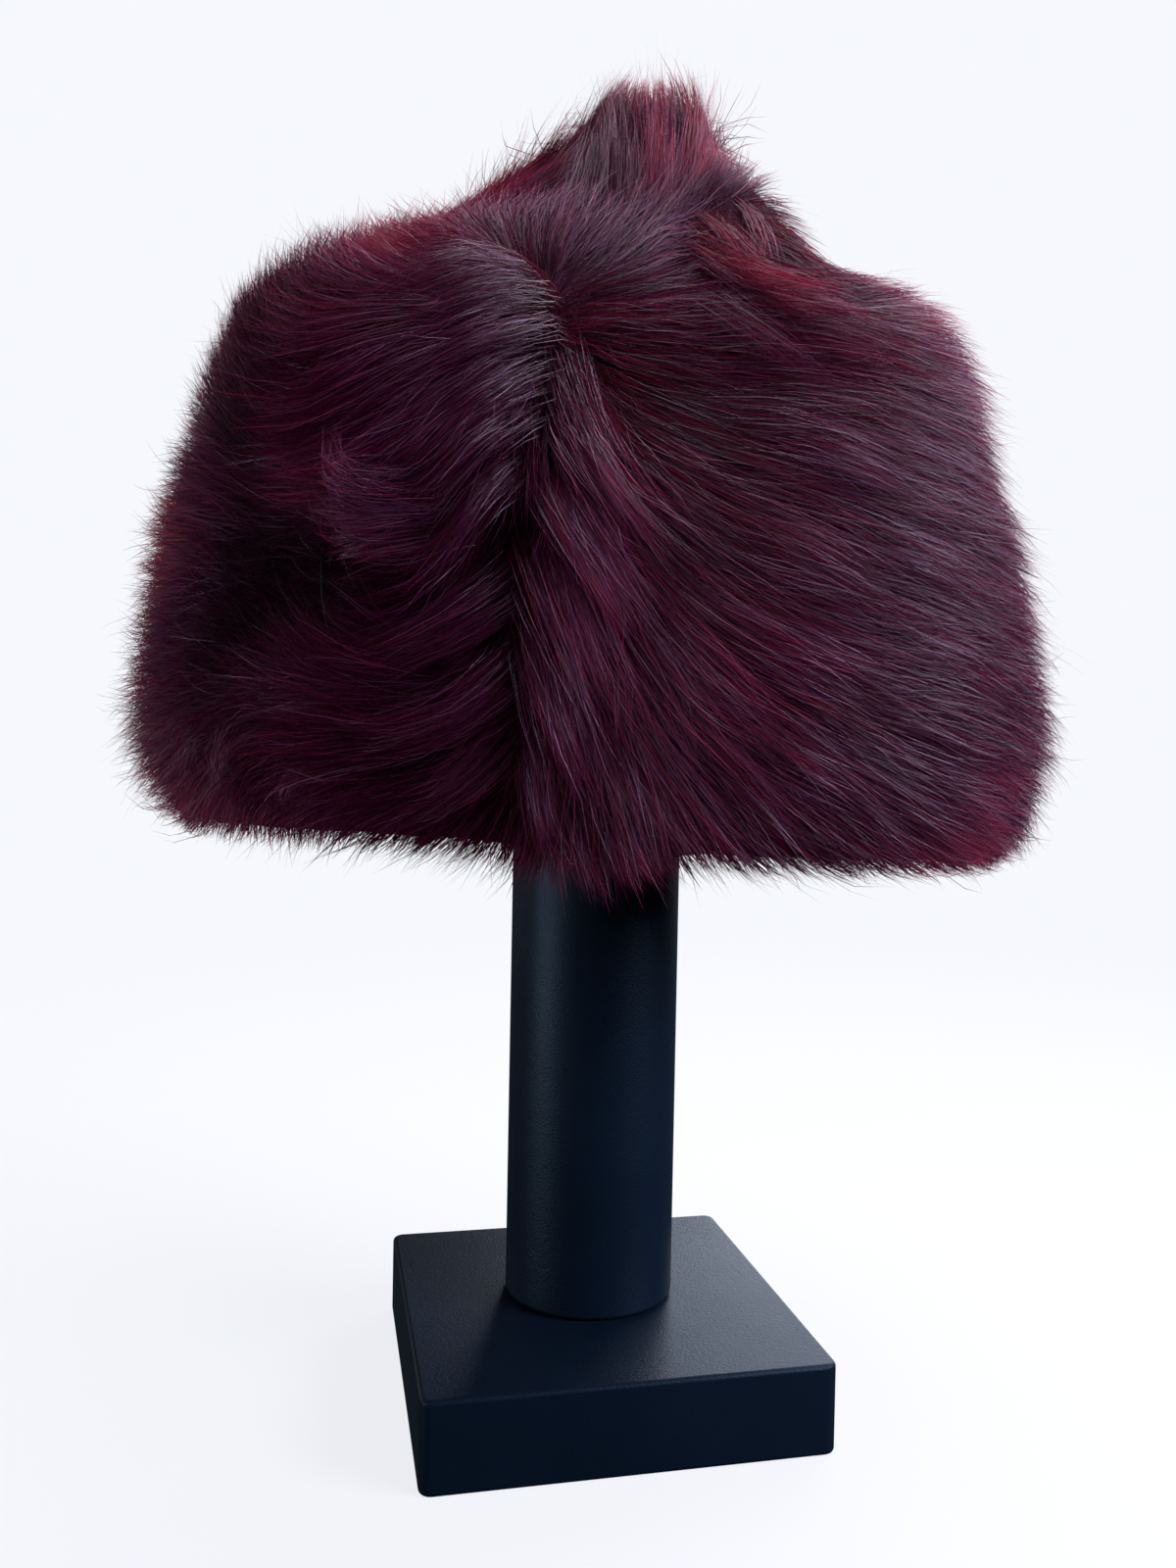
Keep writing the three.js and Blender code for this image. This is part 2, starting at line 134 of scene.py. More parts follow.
# %% A finish that adds its own nodes
class Finish:
    def __init__(self, name, kind="materials", shader="Principled BSDF", output="Material Output"):
        self.owner = getattr(bpy.data, kind).new(name)
        self.owner.use_nodes = True
        self.tree = self.owner.node_tree
        self.shader = self.tree.nodes[shader]
        self.main = Wire(self, self.shader.outputs[0])
        self.output = self.tree.nodes[output].inputs["Surface"]

    def add(self, kind, settings=None, sockets=None):
        node = self.tree.nodes.new(kind)
        for name, value in (settings or {}).items():
            if name == "stops":
                self.set_stops(node.color_ramp, value)
            else:
                setattr(node, name, value)
        for name, value in (sockets or {}).items():
            self.feed(node.inputs[name], value)
        return [Wire(self, output) for output in node.outputs]

    def set_stops(self, ramp, stops):
        while len(ramp.elements) < len(stops):
            ramp.elements.new(1.0)
        for element, (place, colour) in zip(ramp.elements, stops):
            element.position = place
            element.color = (*colour, 1.0)

    def feed(self, socket, value):
        if isinstance(value, Wire):
            self.tree.links.new(value.socket, socket)
        else:
            socket.default_value = value

    def set(self, **sockets):
        for name, value in sockets.items():
            self.feed(self.shader.inputs[name.replace("_", " ")], value)

    def blend(self, factor, first, second, how="MIX"):
        settings = {"data_type": "RGBA", "blend_type": how}
        return self.add("ShaderNodeMix", settings, {0: factor, 6: first, 7: second})[2]

    def bump(self, height, distance):
        return self.add("ShaderNodeBump", None, {"Height": height, "Distance": distance})[0]

    def ease(self, value, low, high):
        settings = {"interpolation_type": "SMOOTHSTEP"}
        return self.add("ShaderNodeMapRange", settings, {0: value, 1: low, 2: high})[0]

    def noise(self, place, scale, detail):
        return self.add("ShaderNodeTexNoise", None, {"Vector": place, "Scale": scale, "Detail": detail})[0]

    def show(self, shader):
        self.feed(self.output, shader)


print("node helpers ready")

# %% [markdown]
# The stand is a flat square block with a round post, both covered in satin navy black. Every edge is
# softly rounded, and that thin line of light is what makes a dark block look real. The solids have flat
# facets, so each is replaced by a smooth piece of the same size: a plain block or prism, rounded by a
# Bevel modifier.

# %% Build the stand's smooth pieces
import bmesh

BASE_CORNER = 0.003
CORNER_STEPS = 6
EDGE_ROUND = 0.0012
EDGE_STEPS = 4
EDGE_ANGLE = math.radians(50.0)
COLUMN_SIDES = 128


def smooth_faces(mesh):
    mesh.polygons.foreach_set("use_smooth", np.ones(len(mesh.polygons), dtype=bool))


def carry(piece, node):
    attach(piece, "root")
    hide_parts(node)


def smooth_piece(name, node, outline, low, high):
    mesh = bpy.data.meshes.new(name)
    build = bmesh.new()
    bottom = build.faces.new([build.verts.new((x, y, low)) for x, y in outline])
    raised = bmesh.ops.extrude_face_region(build, geom=[bottom])["geom"]
    lifted = [item for item in raised if isinstance(item, bmesh.types.BMVert)]
    bmesh.ops.translate(build, verts=lifted, vec=(0.0, 0.0, high - low))
    bmesh.ops.recalc_face_normals(build, faces=build.faces)
    build.to_mesh(mesh)
    build.free()
    smooth_faces(mesh)
    piece = add_object(name, mesh)
    rounding = piece.modifiers.new("soft edges", "BEVEL")
    rounding.width = EDGE_ROUND
    rounding.segments = EDGE_STEPS
    rounding.limit_method = "ANGLE"
    rounding.angle_limit = EDGE_ANGLE
    rounding.harden_normals = True
    carry(piece, node)
    return piece


def block_outline(low, high, radius):
    corners = ((high[0], high[1], 0), (low[0], high[1], 90), (low[0], low[1], 180), (high[0], low[1], 270))
    outline = []
    for x, y, start in corners:
        centre_x = x - math.copysign(radius, x)
        centre_y = y - math.copysign(radius, y)
        for step in range(CORNER_STEPS + 1):
            angle = math.radians(start + 90 * step / CORNER_STEPS)
            outline.append((centre_x + radius * math.cos(angle), centre_y + radius * math.sin(angle)))
    return outline


def circle(centre, radius, sides):
    turns = [math.tau * step / sides for step in range(sides)]
    return [(centre.x + radius * math.cos(turn), centre.y + radius * math.sin(turn)) for turn in turns]


base_low, base_high = (Vector(corner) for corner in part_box("stand_base"))
post_low, post_high = (Vector(corner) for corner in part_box("stand_column"))
post_radius = (post_high.x - post_low.x) / 2.0
post_middle = (post_low + post_high) / 2.0
ring = circle(post_middle, post_radius, COLUMN_SIDES)
block = block_outline(base_low, base_high, BASE_CORNER)
stand_pieces = [
    smooth_piece("stand_block", "stand_base", block, base_low.z, base_high.z),
    smooth_piece("stand_post", "stand_column", ring, post_low.z, post_high.z),
]
print("block side, metres:", round(base_high.x - base_low.x, 4), "post radius:", round(post_radius, 4))

# %% [markdown]
# The covering is matt to satin, with a cold sheen and a very fine grain. A flat black would look like a
# hole in the picture, so one noise shifts its colour and gloss a little, and another, far finer, gives
# the grain as a bump.

# %% Finish the stand
def satin_navy():
    finish = Finish("satin_navy")
    place = finish.add("ShaderNodeTexCoord")[3]
    cloudy = finish.noise(place, 26.0, 5.0)
    grain = finish.noise(place, 1700.0, 2.0)
    black = (0.0012, 0.0034, 0.0080, 1.0)
    navy = (0.0026, 0.0066, 0.0150, 1.0)
    finish.set(
        Base_Color=finish.blend(cloudy, black, navy),
        Roughness=0.34 + 0.12 * cloudy + 0.06 * grain,
        Normal=finish.bump(grain, 0.00008),
    )
    finish.set(Specular_IOR_Level=0.13, Specular_Tint=(0.46, 0.72, 1.0, 1.0))
    return finish.owner


def give_finish(piece, material):
    piece.data.materials.clear()
    piece.data.materials.append(material)


stand_finish = satin_navy()
for piece in stand_pieces:
    give_finish(piece, stand_finish)
print("stand finished:", stand_finish.name)

# %% [markdown]
# Inside the hat is the back of the fur cloth, which the photograph doesn't show. Such cloth usually has
# a knitted back, dark and matt with fine ribs. Two crossed waves make its loops, one for the ribs and
# one for the rows.

# %% Finish the cloth
def knitted_back():
    finish = Finish("knitted_back")
    place = finish.add("ShaderNodeTexCoord")[3]
    waves = []
    for direction, scale in (("DIAGONAL", 190.0), ("Z", 260.0)):
        sockets = {"Vector": place, "Scale": scale}
        waves.append(finish.add("ShaderNodeTexWave", {"bands_direction": direction}, sockets)[1])
    loops = waves[0] * waves[1]
    dark = (0.010, 0.0025, 0.005, 1.0)
    wine = (0.035, 0.008, 0.015, 1.0)
    finish.set(Base_Color=finish.blend(loops, dark, wine), Roughness=0.95 - 0.1 * loops)
    finish.set(Normal=finish.bump(loops, 0.0004))
    finish.set(Specular_IOR_Level=0.2)
    return finish.owner


cloth_finish = knitted_back()
print("cloth finish:", cloth_finish.name)

# %% [markdown]
# Hair grows from the outside of the cloth, so the outer faces of both panels are picked out of the
# solids. Their corners are merged, and each corner gets the average of its faces' directions, so that
# the hairs' roots lean smoothly round the form. Distances from here on are millimetres in the hat's own
# frame, which is turned so that the front seam faces -Y.

# %% Read the outer faces of the two panels
HAT_TURN = math.radians(-18.0)
HAT_AXIS = np.array((0.0, 0.004, 0.0))
BAND_OUTWARD = 0.3
CROWN_UPWARD = 0.05
TURN = np.array(
    (
        (math.cos(HAT_TURN), -math.sin(HAT_TURN), 0.0),
        (math.sin(HAT_TURN), math.cos(HAT_TURN), 0.0),
        (0.0, 0.0, 1.0),
    )
)


def to_hat(points):
    return (points - HAT_AXIS) @ TURN * 1000.0


def from_hat(points):
    return points / 1000.0 @ TURN.T + HAT_AXIS


def unit(vectors):
    return vectors / np.maximum(np.linalg.norm(vectors, axis=-1, keepdims=True), 1e-9)


def face_directions(points, faces):
    a, b, c = (points[faces[:, corner]] for corner in range(3))
    return np.cross(b - a, c - a)


def outer_faces(node_name, looks_out):
    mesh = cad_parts[node_name].data
    mesh.calc_loop_triangles()
    points = np.empty(len(mesh.vertices) * 3)
    mesh.vertices.foreach_get("co", points)
    points = to_hat(points.reshape(-1, 3))
    faces = np.empty(len(mesh.loop_triangles) * 3, dtype=np.int32)
    mesh.loop_triangles.foreach_get("vertices", faces)
    points, same = np.unique(points.round(3), axis=0, return_inverse=True)
    faces = same.reshape(-1)[faces].reshape(-1, 3)
    directions = unit(face_directions(points, faces))
    faces = faces[looks_out(points[faces].mean(axis=1), directions)]
    used, faces = np.unique(faces, return_inverse=True)
    faces = faces.reshape(-1, 3)
    points = points[used]
    normals = np.zeros_like(points)
    for corner in range(3):
        np.add.at(normals, faces[:, corner], face_directions(points, faces))
    return {"points": points, "faces": faces, "normals": unit(normals)}


def band_looks_out(middles, directions):
    radial = unit(middles * (1.0, 1.0, 0.0))
    return (directions * radial).sum(axis=1) > BAND_OUTWARD


def crown_looks_out(middles, directions):
    return directions[:, 2] > CROWN_UPWARD


panels = {
    "side_band": outer_faces("side_band", band_looks_out),
    "crown": outer_faces("crown", crown_looks_out),
}
for name, panel in panels.items():
    print(name, "outer faces:", len(panel["faces"]))

# %% [markdown]
# The two panels meet in a fold at the shoulder. Hair that stood square on each of them would part there
# and show a gap, so the directions are evened out between neighbours, across the seam as well. A
# nearest-point tree finds the neighbours.

# %% Even out the directions across folds and seams
FOLD_REACH = 15.0


def point_tree(points):
    tree = KDTree(len(points))
    for index, place in enumerate(points):
        tree.insert(place, index)
    tree.balance()
    return tree


def even_directions(parts):
    points = np.concatenate([part["points"] for part in parts])
    normals = np.concatenate([part["normals"] for part in parts])
    tree = point_tree(points)
    for part in parts:
        evened = []
        for place in part["points"]:
            near = tree.find_range(place, FOLD_REACH)
            evened.append(sum((1.0 - away / FOLD_REACH) * normals[index] for _, index, away in near))
        part["lean"] = unit(np.array(evened))


even_directions(list(panels.values()))
print("directions evened over", FOLD_REACH, "mm")

# %% [markdown]
# The solids are cut from few, large faces, and hair planted on them would show every edge. Each face is
# cut into four, twice, and every new corner is drawn out to the curve that its two neighbours'
# directions ask for. That is what a subdivision surface does, but here the directions have to be kept
# as well.

# %% Round the panels
ROUNDNESS = 0.75


def rounded(panel):
    points = panel["points"]
    lean = panel["lean"]
    faces = panel["faces"]
    edges = np.sort(np.concatenate((faces[:, (0, 1)], faces[:, (1, 2)], faces[:, (2, 0)])), axis=1)
    edges, edge_of = np.unique(edges, axis=0, return_inverse=True)
    edge_of = edge_of.reshape(3, -1) + len(points)
    ends = points[edges]
    ways = lean[edges]
    middles = ends.mean(axis=1)
    pulls = ((ends - middles[:, None]) * ways).sum(axis=2, keepdims=True) * ways
    middles = middles + ROUNDNESS * pulls.mean(axis=1)
    ab, bc, ca = edge_of
    a, b, c = faces.T
    cuts = ((a, ab, ca), (ab, b, bc), (ca, bc, c), (ab, bc, ca))
    return {
        "points": np.concatenate((points, middles)),
        "lean": np.concatenate((lean, unit(ways.sum(axis=1)))),
        "faces": np.concatenate([np.stack(cut, axis=1) for cut in cuts]),
    }


for name in panels:
    panels[name] = rounded(rounded(panels[name]))
    print(name, "faces after rounding:", len(panels[name]["faces"]))

# %% [markdown]
# The cloth itself only shows from below, inside the hat. The rounded outer faces give it too: the same
# faces again, turned over and set back by the cloth's thickness, with a narrow wall along every open
# edge.

# %% Build the cloth of the two panels
CLOTH_THICK = 2.0


def open_edges(faces):
    one_way = {(int(a), int(b)) for face in faces for a, b in zip(face, np.roll(face, -1))}
    return sorted(edge for edge in one_way if edge[::-1] not in one_way)


def shell_piece(name, panel, outer_height, inner_height):
    points = panel["points"]
    outer = points + panel["lean"] * outer_height
    inner = points + panel["lean"] * inner_height
    count = len(points)
    faces = panel["faces"].tolist()
    walls = [(a, a + count, b + count, b) for a, b in open_edges(panel["faces"])]
    backs = [tuple(count + corner for corner in reversed(face)) for face in faces]
    mesh = bpy.data.meshes.new(name)
    mesh.from_pydata(from_hat(np.vstack((outer, inner))).tolist(), [], faces + backs + walls)
    smooth_faces(mesh)
    mesh.update()
    return add_object(name, mesh)


for name, node in (("band_cloth", "side_band"), ("crown_cloth", "crown")):
    cloth = shell_piece(name, panels[node], 0.0, -CLOTH_THICK)
    give_finish(cloth, cloth_finish)
    carry(cloth, node)
    print(name, "faces:", len(cloth.data.polygons))

# %% [markdown]
# The look of fur is mostly which way it is combed. On this hat it parts along the front seam, turns
# round a whorl at the seam's top, sweeps to the right and a little down on one side, and lies every way
# on the other. Painted hair could be combed by brush in Blender. Here a chart does it: each row is a
# place on the hat and the way the hair lies there, in degrees: 0 to the right, 90 up, 180 to the left
# and -90 down.

# %% The comb chart: azimuth from the seam, distance from the axis, height, lie, reach of the row
COMB_CHART = np.array((
    # The whorl at the top of the front seam
    (-2, 80, 241, -92, 6), (3, 76, 248, -45, 6), (4, 70, 257, -5, 6), (-4, 58, 273, 48, 7),
    (-9, 67, 267, 78, 6), (-16, 73, 266, 160, 7), (-17, 80, 258, -175, 6), (-10, 82, 246, -128, 6),
    # Right of the seam, from the shoulder down to the rim
    (14, 71, 254, 3, 8), (9, 77, 248, -20, 7), (9, 84, 236, -35, 8), (3, 83, 233, -66, 7),
    (14, 87, 230, -22, 8), (22, 88, 236, 5, 8), (30, 88, 240, -12, 10), (43, 78, 253, -20, 10),
    (52, 80, 256, -20, 12), (1, 88, 222, -85, 7), (8, 92, 222, -58, 8), (16, 95, 222, -30, 9),
    (27, 96, 226, -20, 12), (40, 96, 226, -25, 14), (55, 95, 230, -22, 16), (70, 92, 238, -15, 18),
    (5, 98, 212, -68, 9), (13, 99, 205, -45, 10), (22, 100, 205, -22, 12), (34, 100, 204, -18, 14),
    (48, 99, 205, -20, 16), (65, 98, 205, -14, 18), (4, 100, 188, -70, 9), (12, 102, 182, -50, 10),
    (22, 102, 180, -26, 12), (34, 102, 180, -17, 14), (50, 102, 180, -12, 16), (68, 100, 180, -8, 18),
    (3, 98, 168, -75, 9), (11, 100, 160, -70, 10), (22, 100, 160, -42, 12), (36, 100, 160, -28, 14),
    (52, 100, 160, -20, 16), (70, 98, 160, -16, 18),
    # Left of the seam, upper lobe and the side behind it
    (-16, 87, 243, -146, 8), (-18, 92, 231, -138, 8), (-25, 92, 240, -148, 7), (-9, 89, 228, -116, 7),
    (-14, 95, 220, -128, 8), (-5, 92, 212, -100, 7), (-35, 91, 243, 140, 8), (-42, 90, 248, 118, 12),
    (-55, 90, 250, 125, 14), (-40, 95, 224, 158, 12), (-55, 95, 222, 172, 14), (-70, 94, 225, 178, 16),
    # Left middle, with the tuft that stands up and the ruffled hollow
    (-13, 99, 211, 75, 7), (-18, 98, 204, 165, 7), (-5, 99, 208, -105, 8), (-9, 99, 196, -116, 8),
    (-28, 96, 196, 150, 12), (-42, 98, 196, 170, 14), (-60, 98, 198, -178, 16),
    # Left lower part, bending down at the rim
    (-6, 99, 182, -150, 8), (-10, 101, 176, 172, 9), (-18, 101, 181, 148, 9), (-26, 99, 182, 128, 8),
    (-12, 101, 166, 180, 9),
    (-24, 101, 169, 165, 9), (-33, 101, 168, -110, 8), (-46, 101, 172, -160, 12),
    (-62, 100, 172, -172, 16), (-5, 99, 158, -112, 8), (-14, 99, 157, -140, 9), (-24, 99, 158, -115, 9),
    (-34, 99, 158, -78, 9), (-48, 99, 158, -120, 12), (-64, 98, 158, -150, 16),
    # Crown: front, right-hand ridge, valley behind it, left roof and back
    (-6, 53, 280, 70, 8), (6, 58, 269, 45, 8), (10, 29, 305, 76, 10), (34, 38, 297, 62, 7),
    (33, 54, 281, -74, 6), (27, 58, 270, -52, 6), (34, 71, 261, -32, 7), (41, 66, 271, -52, 6),
    (46, 70, 266, -10, 7), (47, 57, 287, -80, 6), (62, 74, 265, 5, 10), (53, 34, 310, 70, 8),
    (80, 45, 296, 20, 12), (85, 68, 280, 0, 14), (75, 80, 262, -5, 14), (-26, 74, 269, 150, 9),
    (-37, 70, 276, 105, 10), (-36, 84, 265, 130, 9), (-48, 89, 258, 125, 10), (-30, 42, 296, 62, 12),
    (-60, 75, 276, 110, 14), (-80, 60, 290, 90, 16), (-95, 80, 272, 140, 18), (-70, 40, 304, 60, 14),
    (180, 55, 298, -90, 30), (140, 62, 290, -75, 28), (-140, 62, 290, -105, 28), (110, 62, 288, -45, 22),
    # Back of the band, falling away to the middle
    (100, 92, 245, -28, 24), (100, 100, 200, -26, 24), (100, 99, 162, -32, 24),
    (140, 92, 245, -58, 26), (140, 100, 200, -55, 26), (140, 99, 162, -60, 26),
    (180, 92, 245, -90, 26), (180, 100, 200, -92, 26), (180, 99, 162, -90, 26),
    (-140, 92, 245, -122, 26), (-140, 100, 200, -125, 26), (-140, 99, 162, -120, 26),
    (-100, 92, 245, -155, 24), (-100, 100, 200, -158, 24), (-100, 99, 162, -150, 24),
), dtype=float)
ROWS_AT_ONCE = 20000


def chart_places(azimuth, distance, height):
    azimuth = np.radians(azimuth)
    return np.stack((distance * np.sin(azimuth), -distance * np.cos(azimuth), height), axis=1)


def read_chart(places, chart_points, reach, values):
    found = np.empty((len(places), values.shape[1]))
    for start in range(0, len(places), ROWS_AT_ONCE):
        some = places[start:start + ROWS_AT_ONCE]
        away = ((some[:, None, :] - chart_points[None]) ** 2).sum(axis=2)
        nearest = (away / reach**2).min(axis=1, keepdims=True)
        weight = np.exp(-0.5 * (away / reach**2 - nearest))
        found[start:start + ROWS_AT_ONCE] = weight @ values / weight.sum(axis=1, keepdims=True)
    return found


*comb_where, comb_lie, comb_reach = COMB_CHART.T
comb_points = chart_places(*comb_where)
comb_ways = np.stack((np.cos(np.radians(comb_lie)), np.sin(np.radians(comb_lie))), axis=1)
print("comb chart rows:", len(COMB_CHART))

# %% [markdown]
# A second, shorter chart says what the hair is like: how high its dense foot stands, how long it is, how
# upright, how tangled, and which place on the colour card it takes. The card runs from almost black
# through burgundy and plum grey to crimson and red, and the chart uses it to paint light as well as dye.
# Near black in the seam, the ruffled hollow and the valley behind the ridge is painted shade. Plum grey on
# the combed side is a painted sheen. The reds on the left edge, the crest and the rim are partly dye and
# partly painted light shining through the hair. The foot gives the relief: high on the lobe left of the
# seam and on the ridge that runs down from the crest, low in the ruffled hollow and in the valley behind
# the ridge.

# %% The pile chart: azimuth, distance, height, reach, foot, length, upright, tangle in degrees, dye and painted light
PILE_CHART = np.array((
    # Right of the seam: plum grey is a painted sheen, the dark row beside the whorl is painted shade, and
    # red at the rim is painted light shining through
    (25, 98, 205, 30, 6, 32, 0.18, 11, 0.46), (70, 98, 205, 30, 7, 31, 0.28, 11, 0.60),
    (44, 99, 152, 11, 6, 28, 0.26, 12, 1.06), (7, 98, 192, 9, 9, 32, 0.28, 11, 0.68),
    (25, 88, 238, 12, 5, 30, 0.16, 11, 0.50), (4, 98, 156, 8, 8, 30, 0.24, 10, 0.64),
    (11, 83, 238, 8, 3, 26, 0.14, 12, 0.28), (2, 86, 226, 6, 9, 30, 0.26, 12, 0.66),
    # The seam and the whorl: near black in the seam is painted shade
    (-6, 90, 222, 4, 1.5, 13, 0.12, 14, 0.04), (-5, 95, 206, 4.5, 1.5, 12, 0.12, 14, 0.00),
    (-4, 97, 190, 4.5, 1.5, 12, 0.12, 14, 0.00), (-3, 98, 174, 4, 2, 14, 0.14, 14, 0.06),
    (-8, 77, 254, 5, 4, 18, 0.80, 24, 0.46),
    # Left of the seam: near black in the ruffled hollow is painted shade, and red on the left edge is
    # painted light shining through
    (-17, 90, 241, 9, 10, 32, 0.26, 13, 0.46), (-35, 92, 230, 9, 2, 16, 0.28, 16, 0.20),
    (-46, 91, 244, 13, 5, 18, 0.36, 16, 0.36), (-66, 96, 214, 22, 8.5, 24, 0.50, 16, 1.04),
    (-74, 84, 263, 10, 8, 20, 0.44, 16, 1.04),
    (-15, 97, 212, 7, 10, 23, 0.42, 20, 0.72), (-17, 98, 191, 6, 1.5, 12, 0.46, 60, 0.00),
    (-26, 97, 192, 9, 1.5, 12, 0.46, 60, 0.00),
    (-35, 97, 196, 8, 1.5, 13, 0.44, 55, 0.02), (-46, 99, 186, 10, 5, 18, 0.48, 40, 0.34),
    (-11, 100, 178, 9, 7, 30, 0.22, 11, 0.48), (-26, 100, 166, 10, 7, 30, 0.26, 16, 0.60),
    (-38, 99, 157, 10, 7, 26, 0.30, 18, 0.82), (-60, 99, 167, 14, 8, 26, 0.48, 18, 1.00),
    # Crown: red on the crest, the roof and the ridge is painted light shining through, and near black in
    # the valley is painted shade
    (4, 56, 274, 13, 6, 28, 0.14, 10, 0.54), (40, 22, 316, 12, 2, 18, 0.08, 10, 0.92),
    (60, 12, 331, 8, 1.5, 11, 0.50, 12, 1.06), (28, 58, 271, 7, 9, 22, 0.14, 9, 1.00),
    (66, 82, 257, 12, 8, 22, 0.24, 11, 0.68), (-8, 38, 298, 12, 1.5, 20, 0.06, 9, 0.50),
    (64, 46, 296, 9, 1.5, 13, 0.16, 12, 0.80),
    (47, 57, 286, 9, 1.2, 10, 0.06, 10, 0.46),
    (46, 66, 271, 5, 2, 11, 0.16, 20, 0.10), (80, 36, 303, 11, 1.5, 11, 0.06, 12, 0.95),
    (90, 68, 280, 15, 7, 24, 0.50, 14, 0.96),
    (66, 67, 278, 11, 6.5, 24, 0.56, 14, 0.98), (-75, 62, 288, 24, 2, 12, 0.20, 15, 0.92),
    (-24, 74, 268, 9, 6, 22, 0.16, 14, 0.96), (-35, 40, 300, 12, 1.5, 12, 0.10, 12, 0.92),
    (180, 98, 200, 80, 6, 32, 0.26, 12, 0.50), (180, 55, 295, 34, 5, 22, 0.30, 14, 0.60),
), dtype=float)
*pile_where, pile_reach = PILE_CHART.T[:4]
pile_points = chart_places(*pile_where)
pile_values = PILE_CHART[:, 4:]


def pile_nature(places):
    return read_chart(places, pile_points, pile_reach, pile_values)


print("pile chart rows:", len(PILE_CHART))

# %% [markdown]
# Under the long hairs lies a short, dense pile that hides the cloth. Its dark colour is partly the
# burgundy dye and partly painted shade deep in the fur, where little light reaches. As hairs it would cost
# a great many triangles that nobody sees, so it is one closed shell over each panel, as high as the
# chart's foot and roughened by a little waviness. It takes the place of the solid fur coat.

# %% Build the dense pile under the hairs
SHELL_FOOT = 0.8
SHELL_WAVE = 0.6
WAVE_TURNS = (0.61, 0.57, 0.66)


def pile_shell(name, panel):
    points = panel["points"]
    foot = pile_nature(points)[:, :1]
    wave = np.sin(points * WAVE_TURNS).prod(axis=1, keepdims=True)
    return shell_piece(name, panel, foot + SHELL_WAVE * wave, SHELL_FOOT)


def dense_pile():
    finish = Finish("dense_pile")
    place = finish.add("ShaderNodeTexCoord")[3]
    fibres = finish.noise(place, 1400.0, 3.0)
    patches = finish.noise(place, 90.0, 2.0)
    # Painted shade: dark burgundy, darkened towards near black in fibres and patches
    finish.set(
        Base_Color=finish.blend(fibres * patches, (0.004, 0.0004, 0.002, 1.0), (0.060, 0.004, 0.026, 1.0)),
        Roughness=0.85 + 0.1 * fibres,
        Normal=finish.bump(fibres, 0.001),
    )
    finish.set(Specular_IOR_Level=0.05)
    return finish.owner


pile_finish = dense_pile()
for name, node in (("band_pile", "side_band"), ("crown_pile", "crown")):
    shell = pile_shell(name, panels[node])
    give_finish(shell, pile_finish)
    carry(shell, node + "_fur")
    print(name, "faces:", len(shell.data.polygons))

# %% [markdown]
# A hair starts in the dense pile and grows in a few straight steps. At every step it asks the comb
# chart which way to lie, but keeps part of the way it set out with, so that locks can hang over a
# hollow. It leans over further and further, so the tips lie flat while the roots stand. On the front of
# the crest, where the cloth is pushed up, hairs run up the slope and past its top.

# %% Grow hairs along the comb chart
ROOT_DEPTH = 0.8
MEMORY = 0.45
CREST_FROM = 306.0
CREST_FULL = 326.0
CREST_MIDDLE = 8.0
CREST_WIDTH = 14.0
CREST_FAN = np.array((0.26, 0.0, 0.0))
FAN_RANGE = (-0.4, 1.0)
FRONT_FACING = (-0.4, 0.3)
SWING_LIMIT = 0.4
SWING_UP_TO = 280.0
LEAN_ROOT = (80.0, 60.0)
LEAN_TIP = (95.0, 46.0)
LEAN_CURVE = 0.7
UPRIGHT = np.array((0.0, 0.0, 1.0))


def azimuth_of(places):
    return np.arctan2(places[:, 0], -places[:, 1])


def turned(x, y, angle):
    return x * np.cos(angle) - y * np.sin(angle), x * np.sin(angle) + y * np.cos(angle)


def smooth_step(value, low, high):
    share = np.clip((value - low) / (high - low), 0.0, 1.0)
    return share * share * (3.0 - 2.0 * share)


def chart_way(places):
    return unit(read_chart(places, comb_points, comb_reach, comb_ways))


def lie_of_hair(places, normals, first_way, tangle):
    ways = unit(chart_way(places) * (1.0 - MEMORY) + first_way * MEMORY)
    across, upward = turned(*ways.T, tangle)
    up = unit(UPRIGHT - normals * normals[:, 2:])
    right = np.cross(up, normals)
    lie = right * across[:, None] + up * upward[:, None]
    faces_front = smooth_step(-normals[:, 1], *FRONT_FACING)
    crest = (smooth_step(places[:, 2], CREST_FROM, CREST_FULL) * faces_front)[:, None]
    fan = np.clip((places[:, :1] - CREST_MIDDLE) / CREST_WIDTH, *FAN_RANGE) * CREST_FAN
    return unit(lie * (1.0 - crest) + (up + fan) * crest)


def grow_hairs(roots, normals, length, upright, tangle, stations):
    here = roots.copy()
    path = [here]
    start = azimuth_of(roots)
    first_way = chart_way(roots)
    lean_root = np.radians(LEAN_ROOT[0] - LEAN_ROOT[1] * upright)
    lean_tip = np.radians(LEAN_TIP[0] - LEAN_TIP[1] * upright)
    for station in range(1, stations):
        share = (station - 0.5) / (stations - 1)
        moved = azimuth_of(here) - start
        swung = np.clip(np.arctan2(np.sin(moved), np.cos(moved)), -SWING_LIMIT, SWING_LIMIT)
        swung = swung * (1.0 - smooth_step(here[:, 2], SWING_UP_TO, CREST_FROM))
        outward = np.stack((*turned(*normals.T[:2], swung), normals[:, 2]), axis=1)
        lie = lie_of_hair(here, outward, first_way, tangle * (0.5 + 0.5 * share))
        lean = (lean_root + (lean_tip - lean_root) * share**LEAN_CURVE)[:, None]
        here = here + (outward * np.cos(lean) + lie * np.sin(lean)) * (length / (stations - 1))[:, None]
        path.append(here)
    return np.stack(path, axis=1)


print("hairs start", ROOT_DEPTH, "mm below the top of the dense pile")

# %% [markdown]
# Roots are scattered over a panel by the size of its faces, as a particle system would do it. The back,
# which the photograph doesn't show, gets fewer than half as many hairs, each of them half as wide
# again.

# %% Scatter roots over a panel
BACK_SPAN = (-10.0, 40.0)
BACK_DENSITY = 0.45


